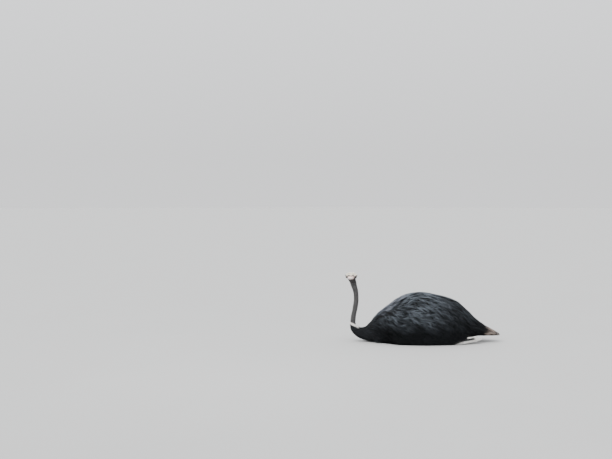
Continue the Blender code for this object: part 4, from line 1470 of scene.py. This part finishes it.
def skin_paint():
    """Grey wrinkled skin, dusky round the eyes, pink about the bill, dark under the plumes, with painted
    shade in the mouth's crease and on the throat under the bill.
    """
    paint = Paint("ostrich_skin", Subsurface_Weight=0.06, Subsurface_Radius=(0.008, 0.004, 0.003),
                  Subsurface_Scale=0.6, Specular_IOR_Level=0.34)
    blotch = paint.ramp(paint.noise(38.0, 4.0), 0.36, 0.66)
    fine_blotch = paint.ramp(paint.noise(210.0, 3.0), 0.35, 0.7)
    bare = paint.mix(blotch, (0.025, 0.0245, 0.026), (0.047, 0.046, 0.047))
    leg = paint.mix(blotch, (0.20, 0.165, 0.150), (0.36, 0.28, 0.25))
    pink = paint.mix(fine_blotch, (0.52, 0.39, 0.36), (0.74, 0.62, 0.58))
    cream = paint.mix(fine_blotch, (0.72, 0.66, 0.55), (0.88, 0.84, 0.73))
    dusky = paint.mix(blotch, (0.020, 0.017, 0.018), (0.050, 0.043, 0.044))
    patchy = paint.sums("ADD", paint.field("dusk"), paint.uneven(150.0, -0.16, 0.12, 3.0))
    under = paint.noise(1.0, 4.0, paint.place((45, 260, 260)), 0.65)
    barbs = paint.ramp(under, 0.42, 0.66)
    plumed = paint.mix(barbs, (0.0018, 0.0018, 0.0020), (0.0190, 0.0200, 0.0230))
    black = paint.field("black")
    colour = paint.over(bare, (fine_blotch, 0.45, (0.084, 0.079, 0.078)), ("leg", 1, leg),
                        ("flush", 0.85, pink), ("crown", 0.85, cream),
                        # The throat's painted shade under the bill.
                        ("throat", 0.92, (0.015, 0.0115, 0.0125)),
                        (paint.ramp(patchy, 0.0, 0.80, 0.0, 0.96), 1, dusky),
                        ("rim", 1, (0.030, 0.022, 0.022)), ("white", 1, (0.74, 0.71, 0.66)),
                        (black, 1, plumed))
    creases = paint.node("TexVoronoi", {"Vector": paint.place((1, 1, 3.0)), "Scale": 120.0},
                         feature="DISTANCE_TO_EDGE")
    folds = paint.noise(46.0, 4.0, paint.place((1, 1, 3.2)))
    normal = paint.bump(folds, 0.55, 0.0022)
    normal = paint.bump(paint.ramp(creases, 0.0, 0.16), 0.22, 0.0007, normal)
    normal = paint.bump(paint.noise(900.0, 3.0), 0.30, 0.0003, normal)
    normal = paint.bump(paint.sums("MULTIPLY", under, black), 0.9, 0.0040, normal)
    rough = paint.sums("MAXIMUM", paint.uneven(120.0, 0.52, 0.72, 3.0), black)
    return paint.finish(colour, rough, normal)


def eye_paint():
    """A wet dark eye: black pupil, brown iris with fibres, a dark edge."""
    paint = Paint("eye_wet", Coat_Weight=0.14, Coat_Roughness=0.02, Specular_IOR_Level=0.06)
    across, ray = paint.field("across"), paint.field("ray")
    turned, outward = paint.sums("MULTIPLY", ray, 9.0), paint.sums("MULTIPLY", across, 60.0)
    fibres = paint.noise(3.0, 4.0, paint.node("CombineXYZ", {0: turned, 1: outward}))
    iris = paint.mix(paint.ramp(fibres, 0.35, 0.7), (0.012, 0.006, 0.004), (0.050, 0.025, 0.013))
    edge = paint.ramp(across, IRIS_RADIUS * 0.82, IRIS_RADIUS * 1.02)
    iris = paint.mix(edge, iris, (0.010, 0.006, 0.005))
    pupil = paint.ramp(across, *PUPIL_EDGE)
    colour = paint.mix(pupil, (0.0015, 0.0015, 0.0018), iris)
    rough = paint.ramp(fibres, 0.2, 0.8, 0.10, 0.22)
    return paint.finish(colour, rough)


def bill_paint():
    """Pale pinkish horn, with painted shade along the mouth line where the halves meet, over the lower half
    and in the nostrils.
    """
    paint = Paint("bill_horn", Subsurface_Weight=0.08, Subsurface_Radius=(0.006, 0.003, 0.002),
                  Subsurface_Scale=0.5, Coat_Weight=0.12, Coat_Roughness=0.35, Specular_IOR_Level=0.5)
    grain = paint.noise(70.0, 4.0, paint.place((3.5, 1, 3.5)))
    base = paint.mix(paint.ramp(grain, 0.32, 0.68), (0.42, 0.29, 0.25), (0.62, 0.48, 0.43))
    along = paint.field("gone")
    ridge = paint.sums("MULTIPLY", paint.field("ridge"), paint.ramp(along, 0.04, 0.62, 1.0, 0.0))
    tan = paint.mix(paint.ramp(grain, 0.35, 0.65), (0.145, 0.092, 0.070), (0.29, 0.205, 0.165))
    blush = paint.ramp(paint.noise(34.0, 2.0), 0.40, 0.66)
    stain = paint.ramp(paint.noise(160.0, 3.0), 0.52, 0.70)
    colour = paint.over(base, (paint.ramp(along, 0.38, 0.90), 0.85, (0.88, 0.81, 0.77)), (ridge, 0.90, tan),
                        (blush, 0.45, (0.46, 0.27, 0.23)), (stain, 0.55, (0.17, 0.110, 0.085)),
                        # Painted shade on the lower half, along the mouth line and in the nostrils.
                        ("below", 0.74, (0.095, 0.066, 0.062)), ("edge", 0.70, (0.10, 0.060, 0.055)),
                        ("hole", 1, (0.018, 0.012, 0.011)))
    rough = paint.ramp(grain, 0.3, 0.7, 0.34, 0.52)
    normal = paint.bump(grain, 0.25, 0.0008)
    normal = paint.bump(paint.noise(800.0, 2.0), 0.15, 0.0002, normal)
    return paint.finish(colour, rough, normal)


def claw_paint():
    """Dark horn with growth lines."""
    paint = Paint("claw_horn", Coat_Weight=0.10, Coat_Roughness=0.4, Specular_IOR_Level=0.5)
    lines = paint.noise(40.0, 3.0, paint.place((6, 1, 1)))
    colour = paint.mix(paint.ramp(lines, 0.35, 0.65), (0.055, 0.045, 0.040), (0.150, 0.125, 0.110))
    rough = paint.ramp(lines, 0.3, 0.7, 0.35, 0.5)
    return paint.finish(colour, rough, paint.bump(lines, 0.3, 0.0006))


def floor_paint():
    """A plain pale floor."""
    paint = Paint("floor_pale", Specular_IOR_Level=0.25)
    cloud = paint.noise(0.8, 3.0)
    colour = paint.mix(cloud, (0.410, 0.410, 0.405), (0.440, 0.440, 0.435))
    rough = paint.ramp(cloud, 0.3, 0.7, 0.75, 0.85)
    return paint.finish(colour, rough)


# ---- floor, light and camera -----------------------------------------------------------------
CAMERA_PLACE = (-1.3246, -10.42, 1.70)
CAMERA_TILT = math.radians(90 - 2.34657)
CAMERA_LENS, CAMERA_SENSOR = 54.118, 36.0
SUN_TILT, SUN_TURN = math.radians(27), math.radians(-40)
SUN_SOFTNESS = math.radians(60)
SUN_ENERGY, SUN_COLOUR = 2.45, (1.0, 0.985, 0.96)
WINDOW_PLACE, WINDOW_SIZE, WINDOW_ENERGY = (-2.2, -3.0, 2.6), 0.9, 22.0
HORIZON, ZENITH = (1.14, 1.15, 1.17), (2.30, 2.35, 2.42)
HORIZON_UNTIL, ZENITH_FROM = 0.04, 0.85         # sines of the heights where the room's light changes
FLOOR_RADIUS, FLOOR_CORNERS, FARTHEST = 90, 128, 300


def studio_world():
    """A pale room, brightest overhead."""
    world = bpy.data.worlds.new("studio")
    world.use_nodes = True
    tree = world.node_tree
    spot = tree.nodes.new("ShaderNodeTexCoord")
    split = tree.nodes.new("ShaderNodeSeparateXYZ")
    ramp = tree.nodes.new("ShaderNodeMapRange")
    blend = tree.nodes.new("ShaderNodeMix")
    blend.data_type = "RGBA"
    ramp.inputs[1].default_value, ramp.inputs[2].default_value = HORIZON_UNTIL, ZENITH_FROM
    blend.inputs[6].default_value, blend.inputs[7].default_value = (*HORIZON, 1), (*ZENITH, 1)
    tree.links.new(spot.outputs["Generated"], split.inputs[0])
    tree.links.new(split.outputs[2], ramp.inputs[0])
    tree.links.new(ramp.outputs[0], blend.inputs[0])
    tree.links.new(blend.outputs[2], tree.nodes["Background"].inputs[0])
    return world


def placed(name, data, place, turn):
    """An object of the stage, put at its place and turned."""
    held = bpy.data.objects.new(name, data)
    held.location, held.rotation_euler = place, turn
    bpy.context.scene.collection.objects.link(held)
    return held


def build_stage():
    """The floor, the light, the world and the camera."""
    bpy.ops.mesh.primitive_circle_add(vertices=FLOOR_CORNERS, radius=FLOOR_RADIUS, fill_type="NGON")
    floor = bpy.context.object
    floor.name = "floor"
    floor.data.materials.append(floor_paint())
    light = bpy.data.lights.new("softbox", "SUN")
    light.energy, light.angle, light.color = SUN_ENERGY, SUN_SOFTNESS, SUN_COLOUR
    placed("softbox", light, (0, 0, 0), (SUN_TILT, 0, SUN_TURN))
    window = bpy.data.lights.new("window", "AREA")
    window.shape, window.size, window.energy = "DISK", WINDOW_SIZE, WINDOW_ENERGY
    way = Vector(HEAD_CENTRE) - Vector(WINDOW_PLACE)
    placed("window", window, WINDOW_PLACE, way.to_track_quat("-Z", "Y").to_euler())
    bpy.context.scene.world = studio_world()
    camera = bpy.data.cameras.new("camera")
    camera.lens, camera.sensor_width, camera.clip_end = CAMERA_LENS, CAMERA_SENSOR, FARTHEST
    bpy.context.scene.camera = placed("camera", camera, CAMERA_PLACE, (CAMERA_TILT, 0, 0))


# ---- assembly -----------------------------------------------------------------------------------
def main():
    """Builds the skin, the coat and the rest, and the stage."""
    skin = skin_surface()
    lids = build_skin(skin, skin_paint())
    eye = eye_paint()
    for label in SIDES:
        build_eye(label, eye)
    build_bill(bill_paint())
    build_claws(claw_paint())
    white, down = white_paint(), down_paint()
    build_body_coat(skin, plumage_paint("black_plumage"))
    build_tail(skin, plumage_paint("tail_plumage", tail=True))
    build_white_plumes(white)
    build_down(skin, down, white)
    build_head_coat(skin, down, lids, lash_paint())
    build_stage()


main()
